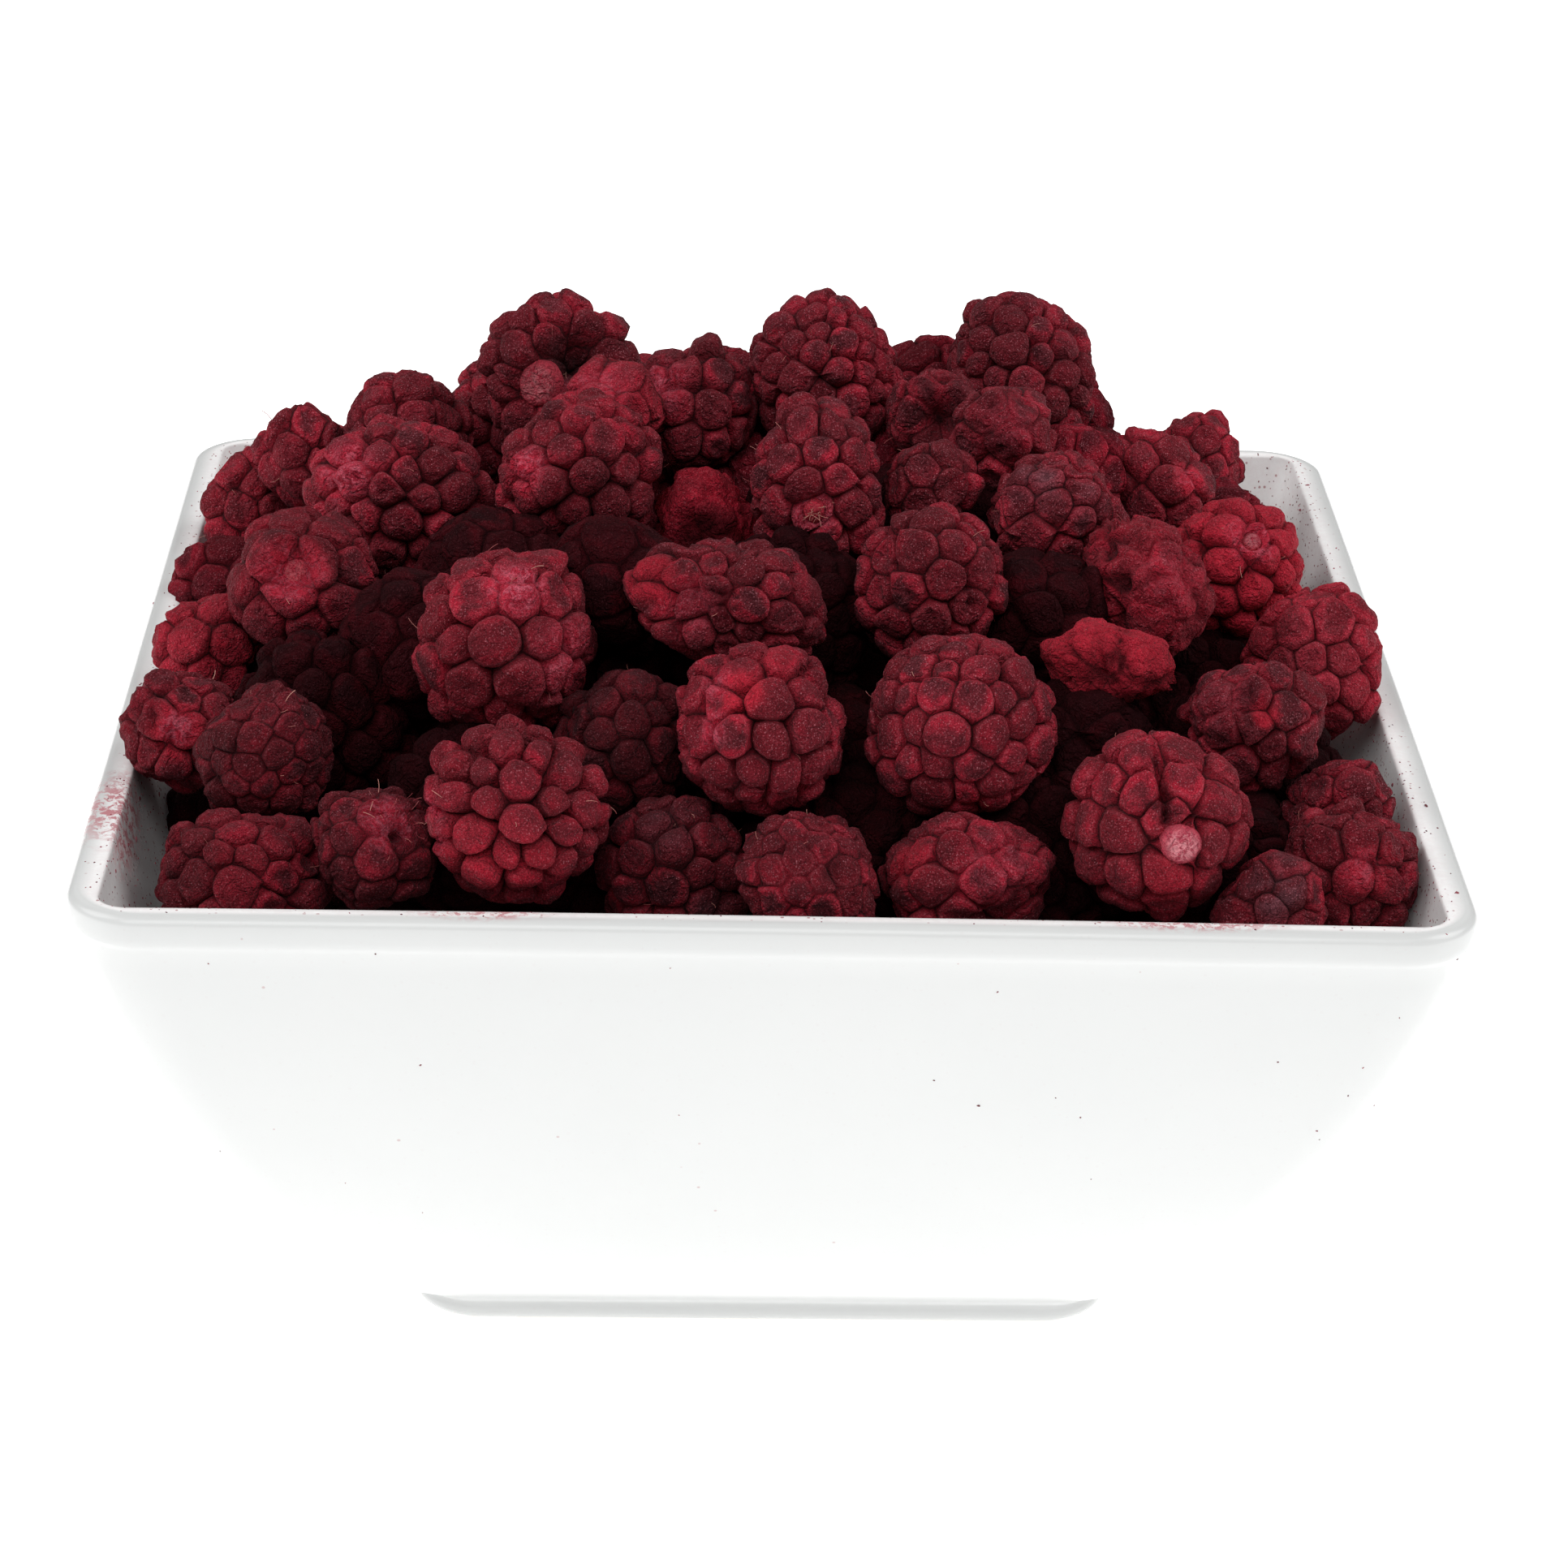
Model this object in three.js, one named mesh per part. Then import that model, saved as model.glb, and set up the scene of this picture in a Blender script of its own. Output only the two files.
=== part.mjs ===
// A square white porcelain bowl heaped with freeze-dried boysenberries.
// Millimetres, +Z up. The origin is the middle of the bowl's base, on the table.
// +X is the right of the bowl as it is looked at from the front, and +Y is away from that viewer.

import * as THREE from 'three';
import { ConvexHull } from 'three/addons/math/ConvexHull.js';

// Bowl: driving sizes
const bowlHeight = 68.4;
const rimHalf = 75;               // half the width across the rim, outside
const rimCorner = 8.5;            // plan corner radius at the rim
const footCorner = 7;             // plan corner radius at the foot
const footHalf = 39.8;            // half the width of the foot where it stands
const footHeight = 3;
const footRingWidth = 3.4;        // the ring that touches the table
const footRecess = 1.8;           // how far the base is raised inside that ring
const lipRound = 1.8;             // rounding of the rim's outer edge
const lipThickness = 3.0;         // wall at the rim
const wallThickness = 4.0;        // wall lower down
const floorTop = 7;               // height of the floor inside
const cornerDip = 0.9;            // the rim sags this much at its right front corner

// The outside of the wall: a cubic curve of half width against height
const wallCurve = new THREE.CubicBezierCurve(
  new THREE.Vector2(40.5, footHeight),
  new THREE.Vector2(54.5, 11.5),
  new THREE.Vector2(68.3, 38),
  new THREE.Vector2(74.3, 64),
);
const wallSteps = 8;
const cornerSteps = 4;

// Berries: driving sizes
const drupeletDepth = 1.15;       // how deep the creases between drupelets are
const areaPerDrupelet = 12;       // a berry has its width times its length over this many drupelets
const shownSwell = 1.05;          // the drupelets stand this much proud of the round body
const hiddenSwell = 1.07;         // the same for the berries under the top layer
const seatGap = 0.3;              // room left between pieces that touch
const wallGap = 0.5;              // room left between a berry's points and the bowl's smooth wall
const linkGap = 1.4;              // lower berries nearer than this are joined
const press = 1.5;                // how far two berries' round outlines press into each other
const neckWidth = 2.2;            // a neck's half width, in berry radii over the root of its drupelets
const chainLength = 6;            // spheres that describe one berry's body
const underWidth = 20;            // berries under the top layer
const layerUnderTop = 34;         // berries less than this below the dome can be glimpsed
const drupeletsUnderTop = 20;
const drupeletsBelow = 9;
const underSeed = 49;             // seed of their places and shapes
const middleHeight = 45;          // berries above this fill the room under the top, others lie low
const sightTilt = 0.385;          // the viewer looks down about 22 degrees: sine of that angle

// Seeded random numbers, so that every build is the same
function makeRandom(seed) {
  let state = seed >>> 0;
  return () => {
    state = (state + 0x6d2b79f5) >>> 0;
    let t = Math.imul(state ^ (state >>> 15), 1 | state);
    t = (t + Math.imul(t ^ (t >>> 7), 61 | t)) ^ t;
    return ((t ^ (t >>> 14)) >>> 0) / 4294967296;
  };
}

// Places of the berries that show, chosen by hand, from the front row to the back.
// Each has its place, its width, its length, the way its tip points and its form.
// whole: sound; stem: its open stem end shows a core; crumpled: dented; hollow: open and empty
const topBerries = [
  // Along the front rim, from left to right
  ['front_1', [-56.5, -60.5, 65.8], 18, 20, [0.9, 0, 0.3], 'whole'],
  ['front_2', [-43.3, -60.5, 70.0], 13.5, 15.5, [-0.4, 0.8, -0.3], 'stem'],
  ['front_3', [-28.0, -60.5, 74.3], 20, 20.6, [0.9, -0.25, 0.1], 'whole'],
  ['front_4', [-10.3, -62.0, 68.0], 18, 19, [0.1, -0.6, 0.8], 'whole'],
  ['front_5', [3.5, -62.5, 67.6], 16, 17.5, [-0.8, 0.2, 0.3], 'crumpled'],
  ['front_6', [20.0, -62.0, 67.4], 17, 21, [1, 0, 0.1], 'crumpled'],
  ['front_7', [41.2, -59.8, 73.6], 20.6, 20.6, [-0.21, 0.95, -0.2], 'stem'],
  ['front_8', [53.8, -61.0, 64.5], 13, 15, [0.3, -0.2, 0.9], 'whole'],
  ['front_9', [63.0, -59.0, 66.9], 16.8, 17.8, [-0.5, -0.3, 0.8], 'whole'],
  // The second row
  ['second_1', [-65.5, -39.0, 74.0], 15, 17, [0.25, 0.9, -0.35], 'stem'],
  ['second_2', [-56.0, -43.0, 74.4], 16.6, 17.6, [0.2, -0.5, 0.8], 'crumpled'],
  ['second_3', [-16.7, -43.0, 75.4], 17, 18, [0.3, -0.4, 0.8], 'whole'],
  ['second_4', [-1.5, -49.5, 79.6], 20.2, 21.5, [0.3, 0.5, -0.8], 'whole'],
  ['second_5', [20.4, -48.8, 79.9], 20.8, 21, [0.15, -0.8, -0.2], 'whole'],
  ['second_6', [53.5, -39.5, 76.4], 16.6, 18.6, [-0.9, 0.1, 0.2], 'crumpled'],
  ['second_7', [62.8, -46.0, 69.4], 13, 15, [0.4, -0.2, 0.8], 'whole'],
  // The third row
  ['third_1', [-64.2, -14.0, 74.3], 13.4, 15.6, [0.7, 0.2, 0.6], 'crumpled'],
  ['third_2', [-54.0, -10.5, 80.5], 16, 18.4, [0.25, 0.85, -0.1], 'stem'],
  ['third_3', [-29.2, -36.5, 83.9], 20.4, 21.6, [0.3, 0.6, 0.7], 'whole'],
  ['third_4', [-6.0, -34.0, 88.0], 17, 24, [-1, 0.05, 0.2], 'whole'],
  ['third_5', [18.0, -29.5, 89.0], 18, 19.4, [0.1, -0.3, 0.9], 'whole'],
  ['third_6', [37.5, -38.6, 82.9], 10, 15, [1, 0, -0.1], 'crumpled'],
  ['third_7', [42.8, -18.0, 84.2], 15.4, 17.6, [-0.6, 0.4, 0.7], 'crumpled'],
  ['third_8', [63.6, -16.0, 74.8], 16.8, 19, [0.2, 0.2, 0.9], 'whole'],
  ['third_9', [55.0, -2.0, 79.8], 17.4, 20, [-0.1, 0.6, -0.75], 'stem'],
  // The fourth row
  ['fourth_1', [-64.4, 35.0, 73.0], 14, 15, [-0.3, 0, 0.9], 'whole'],
  ['fourth_2', [-57.0, 29.0, 81.7], 13, 15.5, [0.1, 0, 1], 'crumpled'],
  ['fourth_3', [-43.8, 6.0, 85.1], 20, 22, [0.9, -0.3, 0.1], 'whole'],
  ['fourth_4', [-22.5, -3.0, 91.1], 20.4, 21, [0.1, 0.4, 0.9], 'whole'],
  ['fourth_5', [5.4, -8.6, 92.8], 17.4, 22.4, [0.05, 0.4, 0.9], 'stem'],
  ['fourth_6', [19.0, -4.6, 91.0], 13, 14.4, [0.8, 0.3, 0.3], 'crumpled'],
  ['fourth_7', [33.7, -7.2, 89.6], 17.4, 18.6, [0.7, 0.3, 0.5], 'crumpled'],
  ['fourth_8', [45.7, 9.0, 86.8], 15, 16.4, [-0.5, 0.3, 0.8], 'whole'],
  ['fourth_9', [56.2, 46.0, 76.9], 13.6, 15, [0.2, 0.3, 0.9], 'whole'],
  // The top
  ['top_1', [-44.0, 23.5, 87.6], 17, 18, [0.3, 0.6, 0.7], 'crumpled'],
  ['top_2', [-25.1, 25.0, 94.6], 19, 19.6, [0.4, 0.85, -0.3], 'stem'],
  ['top_3', [-18.2, 10.5, 94.8], 13, 15, [0.7, 0.3, 0.5], 'crumpled'],
  ['top_4', [-9.6, 15.0, 94.0], 17.6, 19, [0.4, 0.3, 0.8], 'crumpled'],
  ['top_5', [6.8, 22.5, 95.5], 19.6, 21, [-0.15, 0.3, 0.95], 'whole'],
  ['top_6', [20.5, 10.5, 94.6], 13.5, 15, [0.1, 0.9, 0.1], 'hollow'],
  ['top_7', [28.6, 5.0, 93.5], 14, 15.6, [0.4, 0.8, 0.2], 'hollow'],
  ['top_8', [30.8, 31.5, 92.6], 18.6, 20, [-0.2, 0.4, 0.9], 'whole'],
  // The back slope
  ['rear_1', [-51.0, 47.0, 76.0], 16, 18, [-0.5, 0.5, 0.7], 'whole'],
  ['rear_2', [-33.0, 44.5, 83.0], 18, 19.5, [0.2, 0.7, 0.7], 'whole'],
  ['rear_3', [-14.0, 47.0, 82.5], 18.5, 20, [-0.5, 0.8, 0.2], 'crumpled'],
  ['rear_4', [6.0, 44.5, 84.0], 18.5, 20, [0.3, 0.7, 0.6], 'whole'],
  ['rear_5', [25.0, 50.5, 77.5], 17.5, 19, [0.6, 0.6, 0.5], 'whole'],
  ['rear_6', [-61.0, 62.0, 66.5], 16.5, 18, [0.4, 0.3, 0.8], 'whole'],
  ['rear_7', [-42.0, 62.5, 68.0], 17.5, 19, [-0.8, 0.4, 0.3], 'crumpled'],
  ['rear_8', [-23.0, 62.5, 70.5], 18.5, 20, [0.3, 0.6, 0.7], 'whole'],
  ['rear_9', [-3.0, 62.5, 70.5], 18, 20.5, [0.9, 0.3, 0.2], 'stem'],
  ['rear_10', [16.5, 62.5, 69.0], 17.5, 19, [0.2, -0.3, 0.9], 'whole'],
  ['rear_11', [35.0, 62.5, 65.0], 17.5, 19, [-0.6, 0.5, 0.5], 'whole'],
  ['rear_12', [52.5, 63.0, 67.0], 16, 18, [0.5, 0.5, 0.6], 'crumpled'],
];

// Berries of the second layer that show only as dark shapes in the gaps
const gapBerries = [
  [[34.4, -40.5, 75.5], 13],
  [[-66.0, 11.0, 70.5], 12.5],
  [[-39.5, -26.0, 80.8], 13.5],
  [[-31.8, -13.0, 83.4], 14],
  [[29.6, -22.5, 81.8], 15],
  [[-7.4, -6.0, 87.0], 13.5],
  [[-4.8, 32.0, 88.5], 13],
  [[36.4, 6.0, 90.2], 11.5],
  [[20.4, 33.0, 89.8], 13],
  [[37.8, 43.0, 82.6], 12.5],
  [[-17.3, -28.5, 88.8], 11],
];

// The heap's top is a broad dome: its height over the table at a place in plan
const domeRise = 35;
const domeMiddle = 8;
function domeHeight(x, y) {
  const across = Math.min(Math.abs(x) / 78, 1);
  const reach = y < domeMiddle ? 78 + domeMiddle : 78 - domeMiddle;
  const along = Math.min(Math.abs(y - domeMiddle) / reach, 1);
  return 68 + domeRise * (1 - across ** 2.6) * (1 - along ** 2.6);
}

// Bowl: the outline from the middle of the base, up the outside, over the lip and down inside.
// Each point is a half width, a height and a plan corner radius.
function bowlOutline() {
  const outline = [];
  const add = (half, z, corner) => outline.push({ half, z, corner });
  add(footHalf - footRingWidth - 1, footRecess, footCorner - 3);
  add(footHalf - footRingWidth, 0, footCorner - 2.5);
  add(footHalf, 0, footCorner);
  add(footHalf + 0.9, 1, footCorner + 0.3);
  add(footHalf + 0.7, footHeight, footCorner + 0.2);
  for (let i = 1; i <= wallSteps; i += 1) {
    const p = wallCurve.getPoint(i / wallSteps);
    add(p.x, p.y, footCorner + (rimCorner - footCorner) * (i / wallSteps));
  }
  add(rimHalf, bowlHeight - 2.6, rimCorner);
  for (let i = 1; i <= 3; i += 1) {
    const angle = (i / 3) * (Math.PI / 2);
    const half = rimHalf - lipRound * (1 - Math.cos(angle));
    add(half, bowlHeight - lipRound * (1 - Math.sin(angle)), rimCorner - 0.4 * i);
  }
  add(rimHalf - lipThickness + 0.3, bowlHeight - 0.1, rimCorner - 2.2);
  add(rimHalf - lipThickness - 0.1, bowlHeight - 0.9, rimCorner - 2.6);
  for (const p of innerWall()) {
    add(p.half, p.z, p.corner);
  }
  return outline;
}

// Bowl: the inside of the wall from just under the lip down to the floor
function innerWall() {
  const points = [];
  for (let i = wallSteps; i >= 2; i -= 1) {
    const t = i / wallSteps;
    const p = wallCurve.getPoint(t);
    const slope = wallCurve.getTangent(t);
    const thickness = wallThickness + (lipThickness - wallThickness) * t ** 3;
    const half = p.x - slope.y * thickness;
    const z = p.y + slope.x * thickness;
    if (z < bowlHeight - 3 && z > floorTop + 2) {
      points.push({ half, z, corner: rimCorner - 3 });
    }
  }
  const last = points[points.length - 1];
  points.push({ half: last.half - 7, z: floorTop + 1.2, corner: rimCorner - 3 });
  points.push({ half: last.half - 12, z: floorTop, corner: rimCorner - 3 });
  return points;
}

// Bowl: one level of it, a square ring with round corners
function squareRing({ half, z, corner }) {
  const ring = [];
  for (let quarter = 0; quarter < 4; quarter += 1) {
    for (let i = 0; i <= cornerSteps; i += 1) {
      const angle = (quarter + i / cornerSteps) * (Math.PI / 2);
      const signX = quarter === 0 || quarter === 3 ? 1 : -1;
      const signY = quarter < 2 ? 1 : -1;
      const x = signX * (half - corner) + corner * Math.cos(angle);
      const y = signY * (half - corner) + corner * Math.sin(angle);
      const toCorner = ((x / rimHalf + 1) / 2) ** 2 * ((1 - y / rimHalf) / 2) ** 2;
      ring.push([x, y, z - cornerDip * toCorner * (z / bowlHeight) ** 3]);
    }
  }
  return ring;
}

// A closed geometry from points and the triangles that join them
function closedGeometry(points, triangles) {
  const used = [...new Set(triangles.flat())];
  const numberOf = new Map(used.map((old, i) => [old, i]));
  const geometry = new THREE.BufferGeometry();
  geometry.setAttribute('position', new THREE.Float32BufferAttribute(used.flatMap((i) => points[i]), 3));
  geometry.setIndex(triangles.flat().map((i) => numberOf.get(i)));
  geometry.computeVertexNormals();
  return geometry;
}

// Bowl: rings joined from the base to the floor inside, closed in the middle at both ends
function bowlGeometry() {
  const outline = bowlOutline();
  const rings = outline.map(squareRing);
  const count = rings[0].length;
  const points = [[0, 0, outline[0].z], ...rings.flat(), [0, 0, floorTop]];
  const at = (ring, i) => 1 + ring * count + (i % count);
  const triangles = [];
  for (let i = 0; i < count; i += 1) {
    triangles.push([0, at(0, i + 1), at(0, i)]);
    for (let ring = 0; ring + 1 < rings.length; ring += 1) {
      triangles.push([at(ring, i), at(ring, i + 1), at(ring + 1, i + 1)]);
      triangles.push([at(ring, i), at(ring + 1, i + 1), at(ring + 1, i)]);
    }
    triangles.push([at(rings.length - 1, i), at(rings.length - 1, i + 1), points.length - 1]);
  }
  return closedGeometry(points, triangles);
}

// Berry body: a chain of spheres from the wide stem end to the slimmer tip
function makeBerry(name, place, width, length, tip, form, drupelets, seed) {
  const random = makeRandom(seed);
  const axis = new THREE.Vector3(...tip).normalize();
  const stemRadius = width / 2;
  const tipRadius = stemRadius * (length > width * 1.3 ? 0.6 : 0.78);
  const back = Math.min(0, stemRadius - length / 2);
  const front = Math.max(0, length / 2 - tipRadius);
  const chain = [];
  for (let i = 0; i < chainLength; i += 1) {
    const t = i / (chainLength - 1);
    const radius = stemRadius + (tipRadius - stemRadius) * t;
    chain.push({ offset: axis.clone().multiplyScalar(back + (front - back) * t), radius });
  }
  const home = new THREE.Vector3(...place);
  return { name, home, centre: home.clone(), axis, chain, form, drupelets, random, planes: [], joints: [] };
}

// Berry body: distance from its centre to its round outline in a direction
function bodyReach(berry, direction) {
  let reach = 0;
  for (const { offset, radius } of berry.chain) {
    const along = offset.dot(direction);
    const inside = along * along - offset.lengthSq() + radius * radius;
    if (inside > 0) {
      reach = Math.max(reach, along + Math.sqrt(inside));
    }
  }
  return reach;
}

// Two berries: the pair of spheres that come closest, or press deepest
function deepestContact(one, two) {
  let best = null;
  const reach = one.centre.distanceTo(two.centre);
  if (reach > 30) {
    return best;
  }
  for (const first of one.chain) {
    const a = one.centre.clone().add(first.offset);
    for (const second of two.chain) {
      const b = two.centre.clone().add(second.offset);
      const distance = a.distanceTo(b);
      const depth = first.radius + second.radius - distance;
      if (!best || depth > best.depth) {
        const normal = b.clone().sub(a).divideScalar(Math.max(distance, 1e-6));
        const middle = a.clone().addScaledVector(normal, first.radius - depth / 2);
        best = { depth, normal, middle };
      }
    }
  }
  return best;
}

// Bowl and berry: the inside of the wall and the lip as a section, square on or through a corner
function wallSection(throughCorner) {
  const diagonal = Math.SQRT2;
  const levels = bowlOutline().slice(5).map(({ half, z, corner }) => {
    return [throughCorner ? half * diagonal - corner * (diagonal - 1) : half, z];
  });
  return [...levels, [0, floorTop]];
}
const wallSections = [0, 1, 2, 3, 4, 5, 6, 7].map((eighth) => {
  const angle = eighth * (Math.PI / 4);
  const outward = new THREE.Vector3(Math.cos(angle), Math.sin(angle), 0);
  return { outward, section: wallSection(eighth % 2 === 1) };
});

// Bowl and berry: the nearest point of a section to a place, in half width and height
function nearestOnSection(section, half, z) {
  let best = null;
  for (let i = 0; i + 1 < section.length; i += 1) {
    const [ax, az] = section[i];
    const [bx, bz] = section[i + 1];
    const lengthSquared = (bx - ax) ** 2 + (bz - az) ** 2;
    const t = ((half - ax) * (bx - ax) + (z - az) * (bz - az)) / lengthSquared;
    const s = Math.min(Math.max(t, 0), 1);
    const x = ax + s * (bx - ax);
    const height = az + s * (bz - az);
    const distance = Math.hypot(half - x, z - height);
    if (!best || distance < best.distance) {
      best = { x, z: height, distance };
    }
  }
  return best;
}

// Bowl and berry: how near the berry's spheres come to the walls, the corners and the floor
function wallContacts(berry) {
  const contacts = [];
  for (const { offset, radius } of berry.chain) {
    const c = berry.centre.clone().add(offset);
    for (const { outward, section } of wallSections) {
      const half = outward.dot(c);
      if (half > 20) {
        const near = nearestOnSection(section, half, c.z);
        const normal = outward.clone().multiplyScalar(near.x - half);
        normal.z = near.z - c.z;
        normal.normalize();
        const middle = c.clone().addScaledVector(normal, near.distance);
        contacts.push({ depth: radius - near.distance, normal, middle });
      }
    }
    const middle = new THREE.Vector3(c.x, c.y, floorTop);
    contacts.push({ depth: radius - (c.z - floorTop), normal: new THREE.Vector3(0, 0, -1), middle });
  }
  return contacts;
}

// Moves a berry; one that shows moves mostly along the line of sight, so the heap keeps its face
const sight = new THREE.Vector3(0, Math.sqrt(1 - sightTilt ** 2), -sightTilt);
function shift(berry, step) {
  if (berry.shows) {
    const along = step.dot(sight);
    berry.centre.addScaledVector(sight, along * 0.8);
    step = step.clone().addScaledVector(sight, -along).multiplyScalar(0.35);
  }
  berry.centre.add(step);
}

// The way a berry settles: what shows sinks along the line of sight, the rear slope sinks inward,
// and what lies under the top fills the room up to it
function driftOf(berry) {
  if (berry.shows) {
    return sight;
  }
  if (berry.rear) {
    return new THREE.Vector3(0, -0.35, -0.94);
  }
  return new THREE.Vector3(0, 0, berry.centre.z > middleHeight ? 1 : -1);
}

// Lets the heap settle: berries press apart, stay inside the bowl and drift onto each other
function settle(berries, rounds) {
  const step = new THREE.Vector3();
  for (let round = 0; round < rounds; round += 1) {
    for (const berry of berries) {
      step.copy(berry.home).sub(berry.centre);
      if (berry.shows) {
        step.addScaledVector(sight, -step.dot(sight) * 0.8);
      }
      if (berry.shows || berry.rear) {
        berry.centre.addScaledVector(step, 0.12);
      }
      berry.centre.addScaledVector(driftOf(berry), 0.05);
    }
    for (let i = 0; i < berries.length; i += 1) {
      for (let j = i + 1; j < berries.length; j += 1) {
        const contact = deepestContact(berries[i], berries[j]);
        if (contact && contact.depth > press) {
          const push = contact.depth - press;
          const even = berries[i].held === berries[j].held;
          const share = even ? 0.5 : (berries[i].held ? 0.2 : 0.8);
          shift(berries[i], contact.normal.clone().multiplyScalar(-push * share));
          shift(berries[j], contact.normal.clone().multiplyScalar(push * (1 - share)));
        }
      }
    }
    for (const berry of berries) {
      for (const contact of wallContacts(berry)) {
        if (contact.depth > 0) {
          berry.centre.addScaledVector(contact.normal, -contact.depth * 0.6);
        }
      }
    }
  }
}

// Seats each berry of the top: it sinks on until at least two others carry it
function seat(berries) {
  for (const berry of berries.filter((one) => one.shows || one.rear)) {
    for (let sunk = 0; sunk < 7; sunk += 0.25) {
      const depths = berries.filter((other) => other !== berry)
        .map((other) => deepestContact(berry, other)?.depth ?? -9)
        .sort((a, b) => b - a);
      if (depths[1] > press * 0.7 || depths[0] > press * 1.7) {
        break;
      }
      berry.centre.addScaledVector(driftOf(berry), 0.25);
    }
  }
}

// Under the top: berries in layers on a staggered grid, from the floor up to under the dome
function underBerries(shown) {
  const berries = [];
  const random = makeRandom(underSeed);
  const pitch = underWidth * 0.99;
  for (let layer = 0; layer < 6; layer += 1) {
    const z = floorTop + underWidth / 2 + layer * pitch * 0.78;
    const stagger = layer % 2 === 0 ? 0 : pitch / 2;
    for (let ix = -4; ix <= 4; ix += 1) {
      for (let iy = -4; iy <= 4; iy += 1) {
        const x = ix * pitch + stagger + (random() - 0.5) * 3;
        const y = iy * pitch + stagger + (random() - 0.5) * 3;
        const width = underWidth * (0.92 + 0.16 * random());
        const tip = [random() - 0.5, random() - 0.5, random() - 0.5];
        const nearTop = z > domeHeight(x, y) - layerUnderTop;
        const drupelets = nearTop ? drupeletsUnderTop : drupeletsBelow;
        const seed = 900 + berries.length;
        const berry = makeBerry('under', [x, y, z], width, width * 1.12, tip, 'whole', drupelets, seed);
        const walls = wallContacts(berry);
        const outside = Math.max(Math.abs(x), Math.abs(y)) > 64;
        const inWall = walls.some((contact) => contact.depth > 3.5);
        const overDome = z + width / 2 > domeHeight(x, y) - 7;
        const crowded = shown.some((other) => {
          const contact = deepestContact(berry, other);
          return contact && contact.depth > 5;
        });
        if (!outside && !inWall && !overDome && !crowded) {
          berries.push(berry);
        }
      }
    }
  }
  return berries;
}

// Drupelets: directions spread evenly over the body, as a spiral from the stem end to the tip
function drupeletDirections(berry) {
  const { axis, random, drupelets, chain } = berry;
  const side = new THREE.Vector3(0, 0, 1).cross(axis);
  if (side.lengthSq() < 0.01) {
    side.set(1, 0, 0).cross(axis);
  }
  side.normalize();
  const other = axis.clone().cross(side);
  const start = random() * Math.PI * 2;
  const golden = Math.PI * (3 - Math.sqrt(5));
  const stretch = 1 + chain[0].offset.distanceTo(chain[chainLength - 1].offset) / 16;
  const directions = [];
  for (let i = 0; i < drupelets; i += 1) {
    const height = 1 - (2 * i + 1) / drupelets;
    const turn = start + i * golden + (random() - 0.5) * 0.35;
    const around = Math.sqrt(1 - height * height);
    const direction = axis.clone().multiplyScalar(-height * stretch);
    direction.addScaledVector(side, around * Math.cos(turn));
    direction.addScaledVector(other, around * Math.sin(turn));
    direction.x += (random() - 0.5) * 0.1;
    direction.y += (random() - 0.5) * 0.1;
    direction.z += (random() - 0.5) * 0.1;
    directions.push(direction.normalize());
  }
  return directions;
}

// Dents that a berry's form asks for: a direction, how wide it is and how deep
function formDents(berry) {
  const { form, axis, random } = berry;
  const size = berry.chain[0].radius;
  const dents = [];
  if (form === 'stem') {
    dents.push({ direction: axis.clone().negate(), width: 0.1, depth: size * 0.15 });
  }
  if (form === 'hollow') {
    dents.push({ direction: axis.clone().negate(), width: 0.16, depth: size * 0.6 });
  }
  if (form === 'crumpled') {
    for (let i = 0; i < 5; i += 1) {
      const direction = new THREE.Vector3(random() - 0.5, random() - 0.5, random() - 0.5);
      const width = 0.1 + 0.1 * random();
      dents.push({ direction: direction.normalize(), width, depth: size * 0.22 });
    }
  }
  return dents;
}

// Distance from a berry's centre to its skin, cut flat where a neighbour or the bowl presses on it
function skinReach(berry, direction, dents, sunk) {
  let reach = bodyReach(berry, direction) * (berry.swell ?? 1) - sunk;
  for (const dent of dents) {
    reach -= dent.depth * Math.exp((direction.dot(dent.direction) - 1) / dent.width);
  }
  for (const { normal, room } of berry.planes) {
    const toward = normal.dot(direction);
    if (toward > 0.01) {
      reach = Math.min(reach, room / toward);
    }
  }
  return Math.max(reach, 1.2);
}

// Berry skin: each drupelet is a raised point, and the creases run between the points.
// rings lists the crease points round each drupelet, anticlockwise as seen from outside.
function berrySkin(berry) {
  const directions = drupeletDirections(berry);
  const dents = formDents(berry);
  for (const joint of berry.joints) {
    const toward = joint.point.clone().sub(berry.centre).normalize();
    const taken = berry.joints.map((other) => other.drupelet);
    const nearness = directions.map((direction, i) => (taken.includes(i) ? -2 : direction.dot(toward)));
    joint.drupelet = nearness.indexOf(Math.max(...nearness));
    directions[joint.drupelet].copy(toward);
  }
  const points = directions.map((direction) => {
    const reach = skinReach(berry, direction, dents, 0.35 * berry.random());
    return berry.centre.clone().addScaledVector(direction, reach);
  });
  const hull = new ConvexHull().setFromPoints(directions);
  const numberOf = new Map(directions.map((direction, i) => [direction, i]));
  const creaseOf = new Map();
  for (const face of hull.faces) {
    const corners = [face.edge.head().point, face.edge.next.head().point, face.edge.prev.head().point];
    const direction = corners[0].clone().add(corners[1]).add(corners[2]).normalize();
    const reach = skinReach(berry, direction, dents, drupeletDepth);
    creaseOf.set(face, points.length);
    points.push(berry.centre.clone().addScaledVector(direction, reach));
  }
  const rings = directions.map(() => null);
  for (const face of hull.faces) {
    for (const first of [face.edge, face.edge.next, face.edge.prev]) {
      const drupelet = numberOf.get(first.head().point);
      if (!rings[drupelet]) {
        rings[drupelet] = [];
        let edge = first;
        do {
          rings[drupelet].push(creaseOf.get(edge.face));
          edge = edge.next.twin;
        } while (edge !== first);
        rings[drupelet].reverse();
      }
    }
  }
  return { points, rings };
}

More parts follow.
